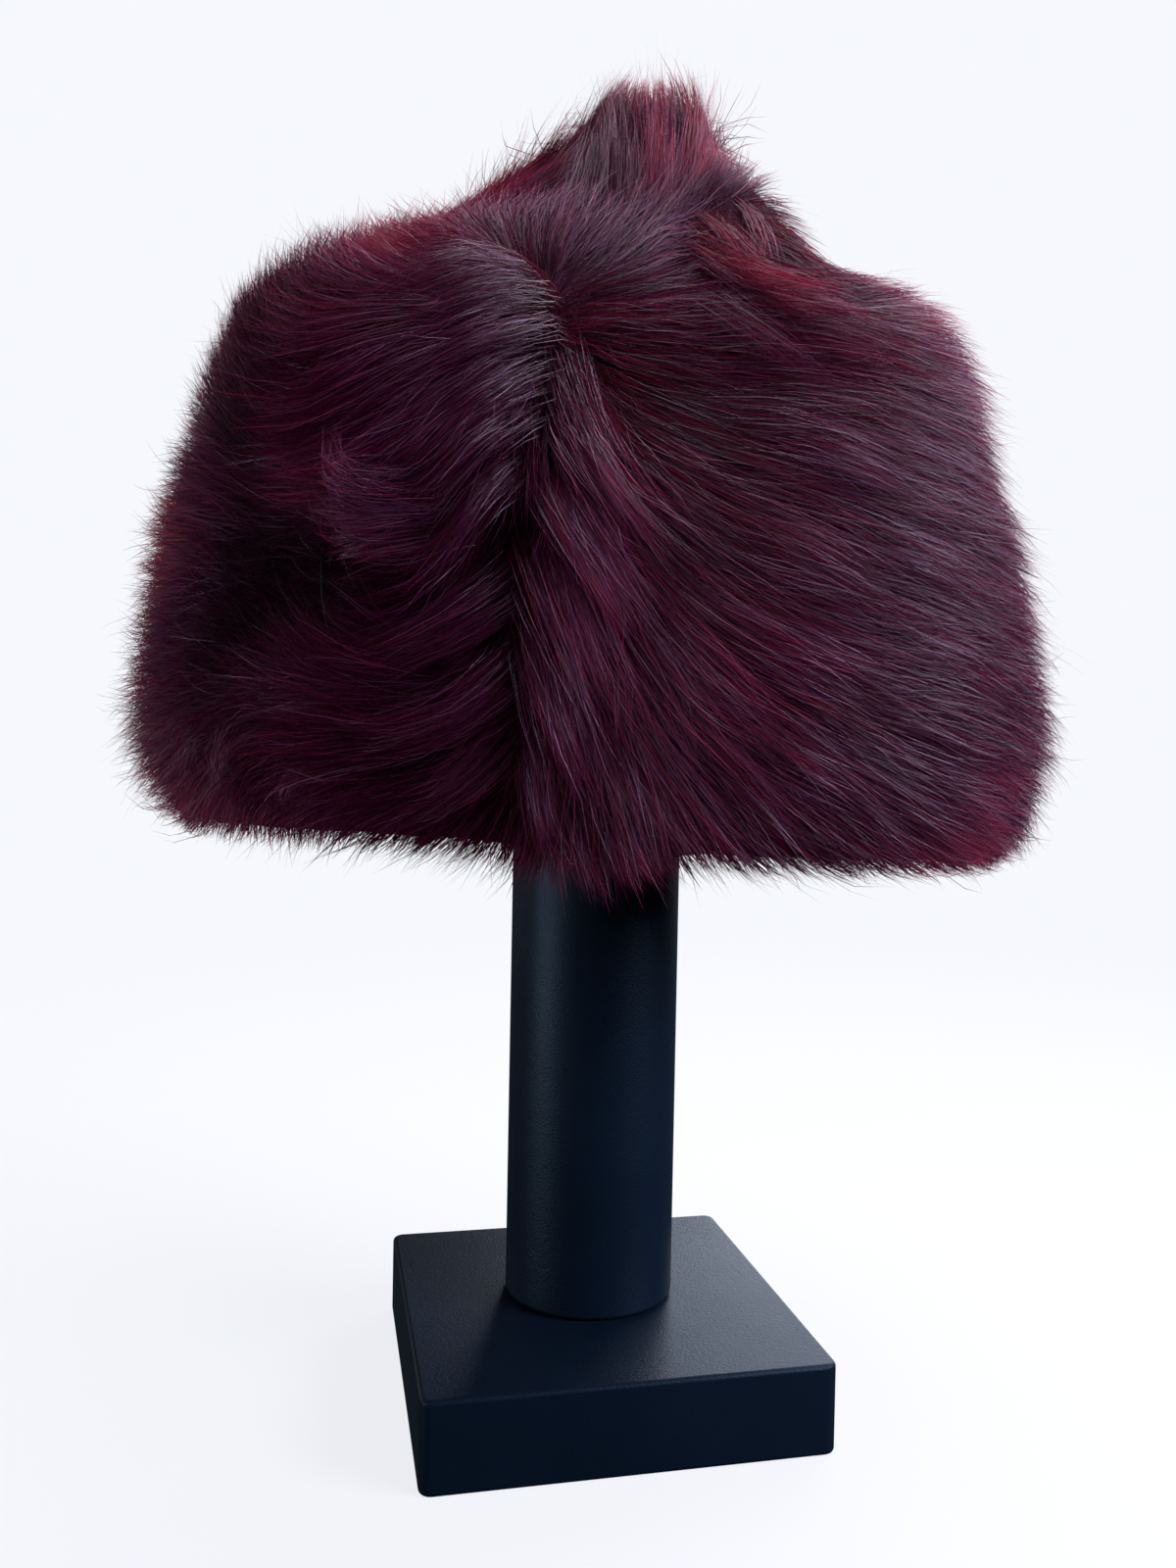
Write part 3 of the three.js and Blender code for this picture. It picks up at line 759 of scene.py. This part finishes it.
def scatter(panel, count, random):
    corners = panel["points"][panel["faces"]]
    directions = panel["lean"][panel["faces"]]
    area = np.linalg.norm(face_directions(panel["points"], panel["faces"]), axis=1)
    share = area * np.interp(corners.mean(axis=1)[:, 1], BACK_SPAN, (1.0, BACK_DENSITY))
    face = random.choice(len(area), count, p=share / share.sum())
    side = np.sqrt(random.random(count))
    part = random.random(count)
    weight = np.stack((1.0 - side, side * (1.0 - part), side * part), axis=1)[:, :, None]
    normals = unit((directions[face] * weight).sum(axis=1))
    return (corners[face] * weight).sum(axis=1), normals


print("hairs at the back, for each one at the front:", BACK_DENSITY)

# %% [markdown]
# Real fur is not a lawn: neighbouring hairs cling together in locks. Each hair is drawn towards the
# nearest of a few thousand leading hairs, not at all at its root and most at its tip. A nearest-point
# tree finds the leader. Hairs that would hang far below the rim are shortened, because the real rim is
# even and rolls under.

# %% Gather hairs into locks and trim them at the rim
GATHER_CURVE = 1.4
RIM_AZIMUTH = (-180, -90, -60, -32, -8, 3, 10, 50, 90, 180)
RIM_HEIGHT = (152, 157, 157, 150, 148, 141, 146, 145, 147, 152)
LEAST_DROP = 5.0


def nearest_leader(roots, leaders):
    tree = point_tree(leaders)
    return np.array([tree.find(place)[1] for place in roots])


def gather(paths, length, leader_paths, leader_length, leader, pull):
    lead = leader_paths[leader]
    scale = (length / leader_length[leader])[:, None, None]
    target = lead[:, :1] + (lead - lead[:, :1]) * scale
    share = np.linspace(0.0, 1.0, paths.shape[1])[None, :, None]
    return paths + (target - paths) * share**GATHER_CURVE * pull[:, None, None]


def trim_at_rim(paths, lowest):
    root = paths[:, :1]
    drop = root[:, 0, 2] - paths[:, -1, 2]
    room = np.maximum(root[:, 0, 2] - lowest, LEAST_DROP)
    share = np.where(drop > room, room / np.maximum(drop, 1e-6), 1.0)
    return root + (paths - root) * share[:, None, None]


print("rim heights, mm:", min(RIM_HEIGHT), "to", max(RIM_HEIGHT))

# %% [markdown]
# One coat puts these steps together. Every hair reads its nature from the pile chart and varies it by
# chance, and every leading hair varies it for its lock. Most locks come out darker than the chart says,
# and some hairs paler: these are painted glints, lines of light along single hairs.

# %% Grow one coat
LENGTH_RANGE = (0.70, 1.12)
UPRIGHT_SPREAD = 0.07
LOCK_TANGLE = 1.3
LOCK_UPRIGHT = 0.10
PULL_RANGE = (0.2, 0.75)
RIM_RAGGED = 2.5
LOCK_SHADE = (0.09, 0.17)
HAIR_SHADE = 0.09
GLINT_SHARE = 0.16
GLINT_STEP = 0.24


def coat_of_hair(panel, count, leaders, stations, size, tone, random):
    roots, normals = scatter(panel, count, random)
    nature = pile_nature(roots)
    lead = random.choice(count, leaders, replace=False)
    leader = nearest_leader(roots, roots[lead])
    foot, length, upright, tangle, dye_and_painted_light = nature.T
    length = length * size * random.uniform(*LENGTH_RANGE, count)
    upright = np.clip(upright + random.normal(0.0, UPRIGHT_SPREAD, count), 0.0, 1.0)
    tangle = np.radians(tangle)
    starts = roots + normals * (foot - ROOT_DEPTH)[:, None]
    paths = grow_hairs(starts, normals, length, upright, tangle * random.normal(0.0, 1.0, count), stations)
    lock_tangle = tangle[lead] * random.normal(0.0, LOCK_TANGLE, leaders)
    lock_upright = np.clip(upright[lead] + random.normal(0.0, LOCK_UPRIGHT, leaders), 0.0, 1.0)
    lock_paths = grow_hairs(starts[lead], normals[lead], length[lead], lock_upright, lock_tangle, stations)
    pull = random.uniform(*PULL_RANGE, count)
    paths = gather(paths, length, lock_paths, length[lead], leader, pull)
    rim = np.interp(np.degrees(azimuth_of(roots)), RIM_AZIMUTH, RIM_HEIGHT)
    paths = trim_at_rim(paths, rim + random.normal(0.0, RIM_RAGGED, count))
    lock_swatch = LOCK_SHADE[0] - LOCK_SHADE[1] * np.abs(random.normal(0.0, 1.0, leaders))[leader]
    # Painted glints: some hairs step up the colour card, as if catching the light
    painted_glint = np.where(random.random(count) < GLINT_SHARE, GLINT_STEP, 0.0)
    dye_and_painted_light = dye_and_painted_light + tone + lock_swatch + painted_glint + random.normal(0.0, HAIR_SHADE, count)
    return {"paths": paths, "normals": normals, "dye_and_painted_light": np.clip(dye_and_painted_light, 0.0, 1.0), "roots": roots}


print("hairs paler than their lock:", GLINT_SHARE)

# %% [markdown]
# Each hair becomes a thin flat ribbon that narrows to a point: a curve object would look as good, but
# its tube would cost many more triangles. Ribbons are turned by chance about their own length, so that
# together they catch the light as round hairs do.

# %% Turn hairs into ribbons
RIBBON_ROLL = 1.1
TAPER_WAY = (0.0, 0.35, 0.75, 1.0)
TAPER_WIDTH = (0.8, 1.0, 0.7, 0.2)


def ribbon_corners(paths, normals, width, random):
    along = unit(np.gradient(paths, axis=1))
    side = unit(np.cross(along, normals[:, None, :]))
    roll = random.uniform(-RIBBON_ROLL, RIBBON_ROLL, len(paths))[:, None, None]
    side = side * np.cos(roll) + np.cross(along, side) * np.sin(roll)
    stations = paths.shape[1]
    taper = np.interp(np.linspace(0.0, 1.0, stations), TAPER_WAY, TAPER_WIDTH)
    half = (side * taper[None, :, None] * width[:, None, None] / 2.0)[:, :-1]
    pairs = np.stack((paths[:, :-1] - half, paths[:, :-1] + half), axis=2).reshape(len(paths), -1, 3)
    return np.concatenate((pairs, paths[:, -1:]), axis=1)


def ribbon_faces(hairs, stations):
    quads = [(2 * k, 2 * k + 1, 2 * k + 3, 2 * k + 2) for k in range(stations - 2)]
    last = 2 * (stations - 2)
    one_hair = np.array([corner for quad in quads for corner in quad] + [last, last + 1, last + 2])
    sizes = np.array([4] * len(quads) + [3])
    corners = 2 * (stations - 1) + 1
    loops = (one_hair[None] + corners * np.arange(hairs)[:, None]).reshape(-1)
    starts = np.concatenate(((0,), np.cumsum(np.tile(sizes, hairs))[:-1]))
    return loops, starts, one_hair


print("a hair of 5 stations has", len(ribbon_faces(1, 5)[1]), "faces")

# %% [markdown]
# The map named strand holds each hair's place on the colour card, dye and painted light together, and its
# way from root to tip. A copy of it is the map that the finished model's colours are kept in. The mesh is
# filled from arrays, because adding faces one by one is slow.

# %% Make a piece of ribbons
SWATCH_COLUMNS = 64
WAY_RANGE = (0.02, 0.98)
WIDTH_RANGE = (0.75, 1.25)
BACK_WIDTH = 1.5


def strand_map(dye_and_painted_light, stations, one_hair):
    column = np.floor(np.clip(dye_and_painted_light, 0.0, 0.999) * SWATCH_COLUMNS)
    share = np.linspace(*WAY_RANGE, stations)
    left = np.tile((0.2, 0.8), stations - 1)
    across = np.concatenate((left, (0.5,)))
    down = np.concatenate((np.repeat(share[:-1], 2), share[-1:]))
    u = (column[:, None] + across[None, one_hair]) / SWATCH_COLUMNS
    v = np.broadcast_to(down[one_hair], u.shape)
    return np.stack((u, v), axis=2).reshape(-1)


def ribbon_piece(name, coat, chosen, width, random):
    paths = coat["paths"][chosen]
    stations = paths.shape[1]
    widths = width * random.uniform(*WIDTH_RANGE, len(paths))
    widths = widths * np.interp(paths[:, 0, 1], BACK_SPAN, (1.0, BACK_WIDTH))
    corners = from_hat(ribbon_corners(paths, coat["normals"][chosen], widths, random).reshape(-1, 3))
    loops, starts, one_hair = ribbon_faces(len(paths), stations)
    mesh = bpy.data.meshes.new(name)
    mesh.vertices.add(len(corners))
    mesh.vertices.foreach_set("co", corners.reshape(-1).astype(np.float32))
    mesh.loops.add(len(loops))
    mesh.loops.foreach_set("vertex_index", loops.astype(np.int32))
    mesh.polygons.add(len(starts))
    mesh.polygons.foreach_set("loop_start", starts.astype(np.int32))
    smooth_faces(mesh)
    mesh.update(calc_edges=True)
    layout = strand_map(coat["dye_and_painted_light"][chosen], stations, one_hair).astype(np.float32)
    for map_name in ("strand", "OFBake"):
        mesh.uv_layers.new(name=map_name).data.foreach_set("uv", layout)
    return add_object(name, mesh)


print("columns of the strand map:", SWATCH_COLUMNS)

# %% [markdown]
# Faux fur is a glossy plastic fibre. Its colour comes from the card by the hair's place on it, and the
# card holds painted light as well as dye. Painted shade darkens each hair at the root, and painted light
# makes it paler and redder at the tip, as if light shone through. Part of the shader lets light pass,
# which lights the rim of the hat from behind. The long hairs right of the seam shine most, those on the
# crown less, and the left side and the undercoat look like velvet, so the same finish is made three times.

# %% Finish the hairs
# The card: near black is painted shade, burgundy is the dye, plum grey at 0.60 and 0.72 is a painted
# sheen, and the crimson and reds from 0.82 up are partly dye and partly painted light shining through
DYE_AND_LIGHT_CARD = (
    (0.00, (0.001, 0.0001, 0.001)),
    (0.20, (0.010, 0.0004, 0.005)),
    (0.38, (0.024, 0.0010, 0.011)),
    (0.50, (0.035, 0.0032, 0.020)),
    (0.60, (0.048, 0.0125, 0.041)),
    (0.72, (0.104, 0.0400, 0.084)),
    (0.82, (0.130, 0.0110, 0.034)),
    (0.92, (0.200, 0.0220, 0.048)),
    (1.00, (0.250, 0.0340, 0.052)),
)


def hair_fibre(name, gloss):
    finish = Finish(name)
    strand = finish.add("ShaderNodeUVMap", {"uv_map": "strand"})[0]
    dye_and_painted_light, way, _ = finish.add("ShaderNodeSeparateXYZ", None, {0: strand})
    card = finish.add("ShaderNodeValToRGB", {"stops": DYE_AND_LIGHT_CARD}, {"Fac": dye_and_painted_light})[0]
    # Painted shade at the root and painted light at the tip
    root = finish.blend(1.0, card, (0.22, 0.18, 0.22, 1.0), "MULTIPLY")
    root_shade_fade = finish.ease(way, 0.12, 0.78)
    tip_light_fade = finish.ease(way, 0.6, 1.0)
    tip = finish.blend(1.0, card, (1.6, 1.25, 1.40, 1.0), "MULTIPLY")
    colour = finish.blend(tip_light_fade, finish.blend(root_shade_fade, root, card), tip)
    finish.set(Base_Color=colour, Roughness=0.62 - 0.75 * dye_and_painted_light * (1.3 - dye_and_painted_light))
    finish.set(Specular_IOR_Level=gloss, Specular_Tint=(0.92, 0.70, 1.0, 1.0))
    through = finish.add("ShaderNodeBsdfTranslucent", None, {"Color": (0.30, 0.012, 0.045, 1.0)})[0]
    share = 0.05 + 0.45 * dye_and_painted_light * way
    finish.show(finish.add("ShaderNodeMixShader", None, {0: share, 1: finish.main, 2: through})[0])
    return finish.owner


FIBRE_GLOSS = {"glossy_fibre": 0.19, "soft_fibre": 0.07, "velvet_fibre": 0.04}
fibres = {name: hair_fibre(name, gloss) for name, gloss in FIBRE_GLOSS.items()}
print("hair finishes:", list(fibres))

# %% [markdown]
# Three kinds of hair make the coat: a short fluffy undercoat, the long combed hairs, and a few stray
# ones that stand off. The band's long hairs are split by azimuth into four pieces, so that no piece
# grows too large.

# %% Grow the coats
random = np.random.default_rng(20)
PIECE_FIBRE = {
    "band_undercoat": "velvet_fibre",
    "crown_undercoat": "velvet_fibre",
    "band_hair_front_left": "velvet_fibre",
    "crown_hair": "soft_fibre",
    "crown_locks": "soft_fibre",
}
SECTORS = (
    ("front_right", 0, 75),
    ("back_right", 75, 180),
    ("back_left", -180, -75),
    ("front_left", -75, 0),
)


def lay_coat(label, node, count, leaders, stations, size, width, tone, sectors):
    coat = coat_of_hair(panels[node], count, leaders, stations, size, tone, random)
    azimuth = np.degrees(azimuth_of(coat["roots"]))
    for sector, low, high in sectors:
        chosen = (azimuth >= low) & (azimuth < high)
        name = label + "_" + sector if sector else label
        piece = ribbon_piece(name, coat, chosen, width, random)
        give_finish(piece, fibres[PIECE_FIBRE.get(name, "glossy_fibre")])
        carry(piece, node + "_fur")
        print(name, "hairs:", int(chosen.sum()))


WHOLE = (("", -181, 181),)
COATS = (
    # Name, panel, hairs, leading hairs, stations, length share, width in mm, step on the colour card,
    # sectors
    ("band_undercoat", "side_band", 32000, 6000, 3, 0.62, 0.27, -0.10, WHOLE),
    ("band_hair", "side_band", 90000, 6500, 4, 1.0, 0.15, -0.09, SECTORS),
    ("crown_undercoat", "crown", 11000, 2400, 3, 0.62, 0.27, -0.10, WHOLE),
    ("crown_hair", "crown", 36000, 2500, 4, 1.0, 0.15, -0.06, WHOLE),
    # The stray hairs step up the colour card: paler, as painted glints where they catch the light
    ("band_stray_hair", "side_band", 5400, 5000, 6, 1.22, 0.12, 0.14, WHOLE),
    ("crown_stray_hair", "crown", 2200, 2000, 6, 1.22, 0.12, 0.14, WHOLE),
)
for row in COATS:
    lay_coat(*row)

# %% [markdown]
# Some locks are large enough to be told apart: the ragged lobe left of the seam, the tuft that curls up
# below it, the plume along the seam, the ridge that runs down from the crest, and the arcs near the rim.
# The comb chart is too soft for them. Each gets a guide through three places, root, middle and tip, and a
# bundle follows it. Their colour paints light as well: the lighter plum of the tuft, the plume and the
# combed locks is a painted sheen, and the red of the ridge and the crest is painted light shining through.

# %% The lock chart: azimuth and height of three places, lift of each, spread, hairs, dye and painted light
LOCK_CHART = np.array((
    # The lobe left of the seam, from the top down
    (-8, 264, -18, 265, -28, 264, 2, 12, 9, 7, 260, 0.60),
    (-7, 262, -16, 258, -27, 249, 2, 15, 12, 7, 280, 0.56),
    (-5, 259, -14, 250, -28, 236, 2, 16, 13, 7, 300, 0.48),
    (-4, 253, -12, 242, -27, 225, 2, 16, 14, 7, 300, 0.50),
    (-4, 245, -10, 232, -22, 215, 2, 15, 13, 7, 280, 0.46),
    (-4, 236, -9, 223, -17, 207, 2, 14, 12, 6, 240, 0.46),
    (-4, 225, -8, 212, -13, 197, 2, 13, 10, 5, 200, 0.44),
    # The tuft that curls up
    (-12, 219, -19, 212, -23, 222, 6, 20, 18, 5, 240, 0.69),
    (-12, 215, -19, 206, -25, 213, 6, 19, 16, 5, 240, 0.69),
    (-12, 210, -18, 203, -23, 204, 6, 17, 13, 5, 200, 0.66),
    # The plume right of the seam and the tuft at the rim
    (-3, 257, 1, 234, 7, 211, 1, 11, 12, 6, 200, 0.58),
    (-1, 239, 4, 219, 11, 201, 2, 14, 12, 7, 300, 0.66),
    (-2, 225, 3, 205, 10, 186, 2, 15, 12, 7, 320, 0.70),
    (-2, 210, 2, 190, 8, 171, 2, 15, 12, 7, 320, 0.70),
    (-2, 196, 1, 176, 6, 158, 2, 15, 12, 6, 280, 0.68),
    (-2, 180, 0, 161, 2, 142, 2, 14, 10, 4, 180, 0.74),
    (0, 173, 2, 155, 5, 145, 2, 13, 9, 5, 180, 0.68),
    # Locks of the combed side
    (20, 232, 32, 225, 45, 218, 2, 13, 11, 7, 240, 0.62),
    (14, 212, 24, 205, 36, 196, 2, 13, 11, 7, 240, 0.64),
    (30, 212, 42, 204, 56, 198, 2, 13, 11, 7, 240, 0.62),
    (12, 194, 22, 186, 34, 178, 2, 13, 11, 7, 240, 0.64),
    (34, 190, 46, 184, 60, 178, 2, 13, 11, 7, 220, 0.66),
    (16, 176, 26, 167, 38, 159, 2, 13, 10, 7, 220, 0.66),
    # Arcs and strokes in the lower left
    (-4, 203, -10, 188, -22, 180, 2, 12, 10, 7, 240, 0.54),
    (-3, 190, -9, 174, -22, 169, 2, 13, 10, 7, 240, 0.56),
    (-3, 178, -8, 164, -18, 157, 2, 12, 9, 6, 220, 0.60),
    (-16, 186, -24, 177, -35, 176, 2, 11, 9, 6, 180, 0.54),
    (-36, 178, -37, 166, -36, 154, 2, 13, 9, 5, 160, 0.72),
    (-42, 178, -44, 167, -46, 156, 2, 13, 9, 5, 160, 0.72),
    (-22, 172, -27, 162, -28, 153, 2, 12, 8, 5, 160, 0.68),
    # The ridge right of the crest, red with painted light shining through
    (38, 301, 35, 281, 34, 257, 1, 6, 8, 5, 240, 0.88),
    (29, 288, 30, 268, 37, 247, 1, 10, 9, 6, 280, 0.86),
    (22, 276, 25, 256, 35, 239, 1, 10, 10, 6, 260, 0.58),
    (50, 310, 44, 293, 38, 272, 1, 3, 6, 4, 160, 0.86),
    # The front of the crest
    (-6, 280, -3, 300, 0, 322, 2, 7, 6, 7, 240, 0.48),
    (4, 280, 8, 300, 20, 330, 2, 8, 9, 7, 260, 0.50),
    (14, 284, 24, 303, 45, 331, 2, 8, 10, 7, 260, 0.86),
    (28, 293, 45, 310, 75, 331, 1, 6, 10, 5, 220, 0.92),
), dtype=float)
print("lock chart rows:", len(LOCK_CHART))

# %% [markdown]
# The chart gives places by azimuth and height alone, so the nearest stretch of the rounded panels says
# how far from the axis they lie and which way is out. A degree counts as many millimetres as it spans
# on the band.

# %% Find places on the panels
DEGREE_MM = 1.7
NEAR_SHARPNESS = 0.125


def find_surface(azimuth, height):
    points = np.concatenate([panel["points"] for panel in panels.values()])
    lean = np.concatenate([panel["lean"] for panel in panels.values()])
    flat = np.stack((np.degrees(azimuth_of(points)) * DEGREE_MM, points[:, 2]), axis=1)
    wanted = np.stack((azimuth * DEGREE_MM, height), axis=1)
    away = ((wanted[:, None] - flat[None]) ** 2).sum(axis=2)
    weight = np.exp(-NEAR_SHARPNESS * (away - away.min(axis=1, keepdims=True)))
    weight = weight / weight.sum(axis=1, keepdims=True)
    return weight @ points, unit(weight @ lean)


surface_place, _ = find_surface(np.array((0.0,)), np.array((200.0,)))
print("the seam at 200 mm is this far from the axis, mm:", round(float(-surface_place[0, 1]), 1))

# %% [markdown]
# The hairs of a lock follow its guide, which bends through the three places. They start side by side,
# close up towards the tip, end at different lengths and come a little loose there, so that no lock
# looks like a brush.

# %% Grow the single locks
LOCK_STATIONS = 5
LOCK_ASIDE = 0.5
LOCK_DEPTH = (1.2, 0.25)
LOCK_BACK = (-0.9, 0.5)
LOCK_REACH = (0.5, 1.16)
LOCK_CLOSING = 0.4
LOOSE_ASIDE = 2.4
LOOSE_LIFT = (0.4, 1.3)
LOCK_TONE = -0.10
LOCK_HAIR_SHADE = 0.07
LOCK_WIDTH = 0.13
CROWN_FROM = 265.0


def grow_locks(chart, random):
    places, lifts, spread, hairs, shade = np.split(chart, (6, 9, 10, 11), axis=1)
    found = [find_surface(*pair.T) for pair in np.split(places, 3, axis=1)]
    guides = [place + out * lift for (place, out), lift in zip(found, np.split(lifts, 3, axis=1))]
    lock = np.repeat(np.arange(len(chart)), hairs[:, 0].astype(int))
    count = len(lock)
    root, middle, tip = (guide[lock] for guide in guides)
    normals = found[1][1][lock]
    along = unit(tip - root)
    across = unit(np.cross(along, normals))
    aside = across * random.normal(0.0, LOCK_ASIDE, (count, 1))
    aside = aside - normals * random.gamma(*LOCK_DEPTH, (count, 1))
    back = along * random.uniform(*LOCK_BACK, (count, 1))
    offset = ((aside + back) * spread[lock])[:, None]
    way = np.linspace(0.0, 1.0, LOCK_STATIONS)[None, :, None] * random.uniform(*LOCK_REACH, (count, 1, 1))
    control = (2.0 * middle - (root + tip) / 2.0)[:, None]
    bend = root[:, None] * (1.0 - way) ** 2 + control * 2.0 * way * (1.0 - way) + tip[:, None] * way**2
    loose = across * random.normal(0.0, LOOSE_ASIDE, (count, 1))
    loose = loose + normals * random.normal(*LOOSE_LIFT, (count, 1))
    loose = loose[:, None] * way**2
    # Painted glints: some hairs of each lock step up the colour card, as if catching the light
    painted_glint = np.where(random.random(count) < GLINT_SHARE, GLINT_STEP, 0.0)
    dye_and_painted_light = shade[lock, 0] + LOCK_TONE + painted_glint + random.normal(0.0, LOCK_HAIR_SHADE, count)
    return {
        "paths": bend + offset * (1.0 - LOCK_CLOSING * np.minimum(way, 1.0)) + loose,
        "normals": normals,
        "dye_and_painted_light": np.clip(dye_and_painted_light, 0.0, 1.0),
        "roots": root,
    }


lock_coat = grow_locks(LOCK_CHART, random)
on_crown = lock_coat["roots"][:, 2] > CROWN_FROM
for name, node, chosen in (("band_locks", "side_band", ~on_crown), ("crown_locks", "crown", on_crown)):
    piece = ribbon_piece(name, lock_coat, chosen, LOCK_WIDTH, random)
    give_finish(piece, fibres[PIECE_FIBRE.get(name, "glossy_fibre")])
    carry(piece, node + "_fur")
    print(name, "hairs:", int(chosen.sum()))

# %% [markdown]
# The set is a pale sweep with no edge to be seen. The floor is a wide disc that takes a soft contact
# shadow near the stand, and further out turns clear, so that only the world behind it is seen and no
# horizon shows.

# %% Set the floor
BACKDROP = (0.922, 0.939, 0.982, 1.0)
FLOOR_RADIUS = 1.0
FLOOR_SIDES = 96
FLOOR_GLOW = 0.88
FLOOR_FADE = (0.1, 0.9)


def pale_floor():
    finish = Finish("pale_floor")
    place = finish.add("ShaderNodeTexCoord")[3]
    away = finish.add("ShaderNodeVectorMath", {"operation": "LENGTH"}, {0: place})[1]
    far = finish.ease(away, *FLOOR_FADE)
    cloudy = finish.noise(place, 7.0, 3.0)
    paper = finish.blend(cloudy, (0.60, 0.61, 0.63, 1.0), (0.64, 0.65, 0.67, 1.0))
    finish.set(Base_Color=paper, Roughness=0.88 + 0.04 * cloudy)
    finish.set(Specular_IOR_Level=0.0)
    glow = finish.add("ShaderNodeEmission", None, {"Color": BACKDROP, "Strength": 1.0})[0]
    clear = finish.add("ShaderNodeBsdfTransparent")[0]
    near = finish.add("ShaderNodeMixShader", None, {0: FLOOR_GLOW, 1: finish.main, 2: glow})[0]
    finish.show(finish.add("ShaderNodeMixShader", None, {0: far, 1: near, 2: clear})[0])
    return finish.owner


floor_mesh = bpy.data.meshes.new("floor")
floor_rim = [(x, y, 0.0) for x, y in circle(Vector((0.0, 0.0)), FLOOR_RADIUS, FLOOR_SIDES)]
floor_mesh.from_pydata(floor_rim, [], [tuple(range(FLOOR_SIDES))])
floor = add_object("floor", floor_mesh)
give_finish(floor, pale_floor())
floor.visible_diffuse = False
floor.visible_glossy = False
print("floor radius, metres:", FLOOR_RADIUS)

# %% [markdown]
# The world is two things at once: a pale backdrop for the camera, and a dim, cool room for the object.
# A Light Path node tells the camera's rays from all others, so the backdrop doesn't flood the dark fur
# with light.

# %% Set the world
ROOM_COLOUR = (0.78, 0.88, 1.0, 1.0)
ROOM_STRENGTH = 0.035
sky = Finish("pale_world", "worlds", "Background", "World Output")
sky.set(Color=BACKDROP)
room = sky.add("ShaderNodeBackground", None, {"Color": ROOM_COLOUR, "Strength": ROOM_STRENGTH})[0]
from_camera = sky.add("ShaderNodeLightPath")[0]
sky.show(sky.add("ShaderNodeMixShader", None, {0: from_camera, 1: room, 2: sky.main})[0])
bpy.context.scene.world = sky.owner
bpy.context.scene.view_settings.view_transform = "Standard"
print("room light, of the backdrop:", ROOM_STRENGTH)

# %% [markdown]
# A large cool light stands well to the right in front, which gives the combed side its plum sheen and
# leaves the other side dark. One above brightens the crest and the ridge. Two behind, like windows,
# light the edges of the fur. A weak warm one fills the left side, and a small low one draws the pale
# line along the column.

# %% Light the set
def soft_light(name, place, target, size, power, colour):
    light = bpy.data.lights.new(name, "AREA")
    light.size = size
    light.energy = power
    light.color = colour
    lamp = add_object(name, light)
    lamp.location = place
    lamp.visible_camera = False
    lamp.rotation_euler = (Vector(target) - Vector(place)).to_track_quat("-Z", "Y").to_euler()


HAT_MIDDLE = (0.0, 0.0, 0.23)
COLUMN_MIDDLE = (0.0, 0.0, 0.07)
LIGHTS = (
    # Name, place and target in metres, size in metres, power in watts, colour
    ("cool_key", (0.84, -0.64, 0.62), HAT_MIDDLE, 0.6, 29.0, (0.88, 0.89, 1.0)),
    ("top_light", (0.34, 0.04, 1.15), HAT_MIDDLE, 0.9, 19.0, (1.0, 0.92, 0.97)),
    ("back_window", (0.72, 0.92, 0.66), HAT_MIDDLE, 1.0, 19.0, (0.80, 0.86, 1.0)),
    ("back_left_window", (-0.85, 0.75, 0.50), HAT_MIDDLE, 0.8, 2.6, (1.0, 0.86, 0.89)),
    ("left_fill", (-0.75, -0.70, 0.45), HAT_MIDDLE, 0.8, 2.2, (1.0, 0.86, 0.90)),
    ("left_window", (-0.80, -0.15, 0.06), COLUMN_MIDDLE, 0.35, 3.6, (0.90, 0.94, 1.0)),
)
for row in LIGHTS:
    soft_light(*row)
print("lights:", len(LIGHTS))
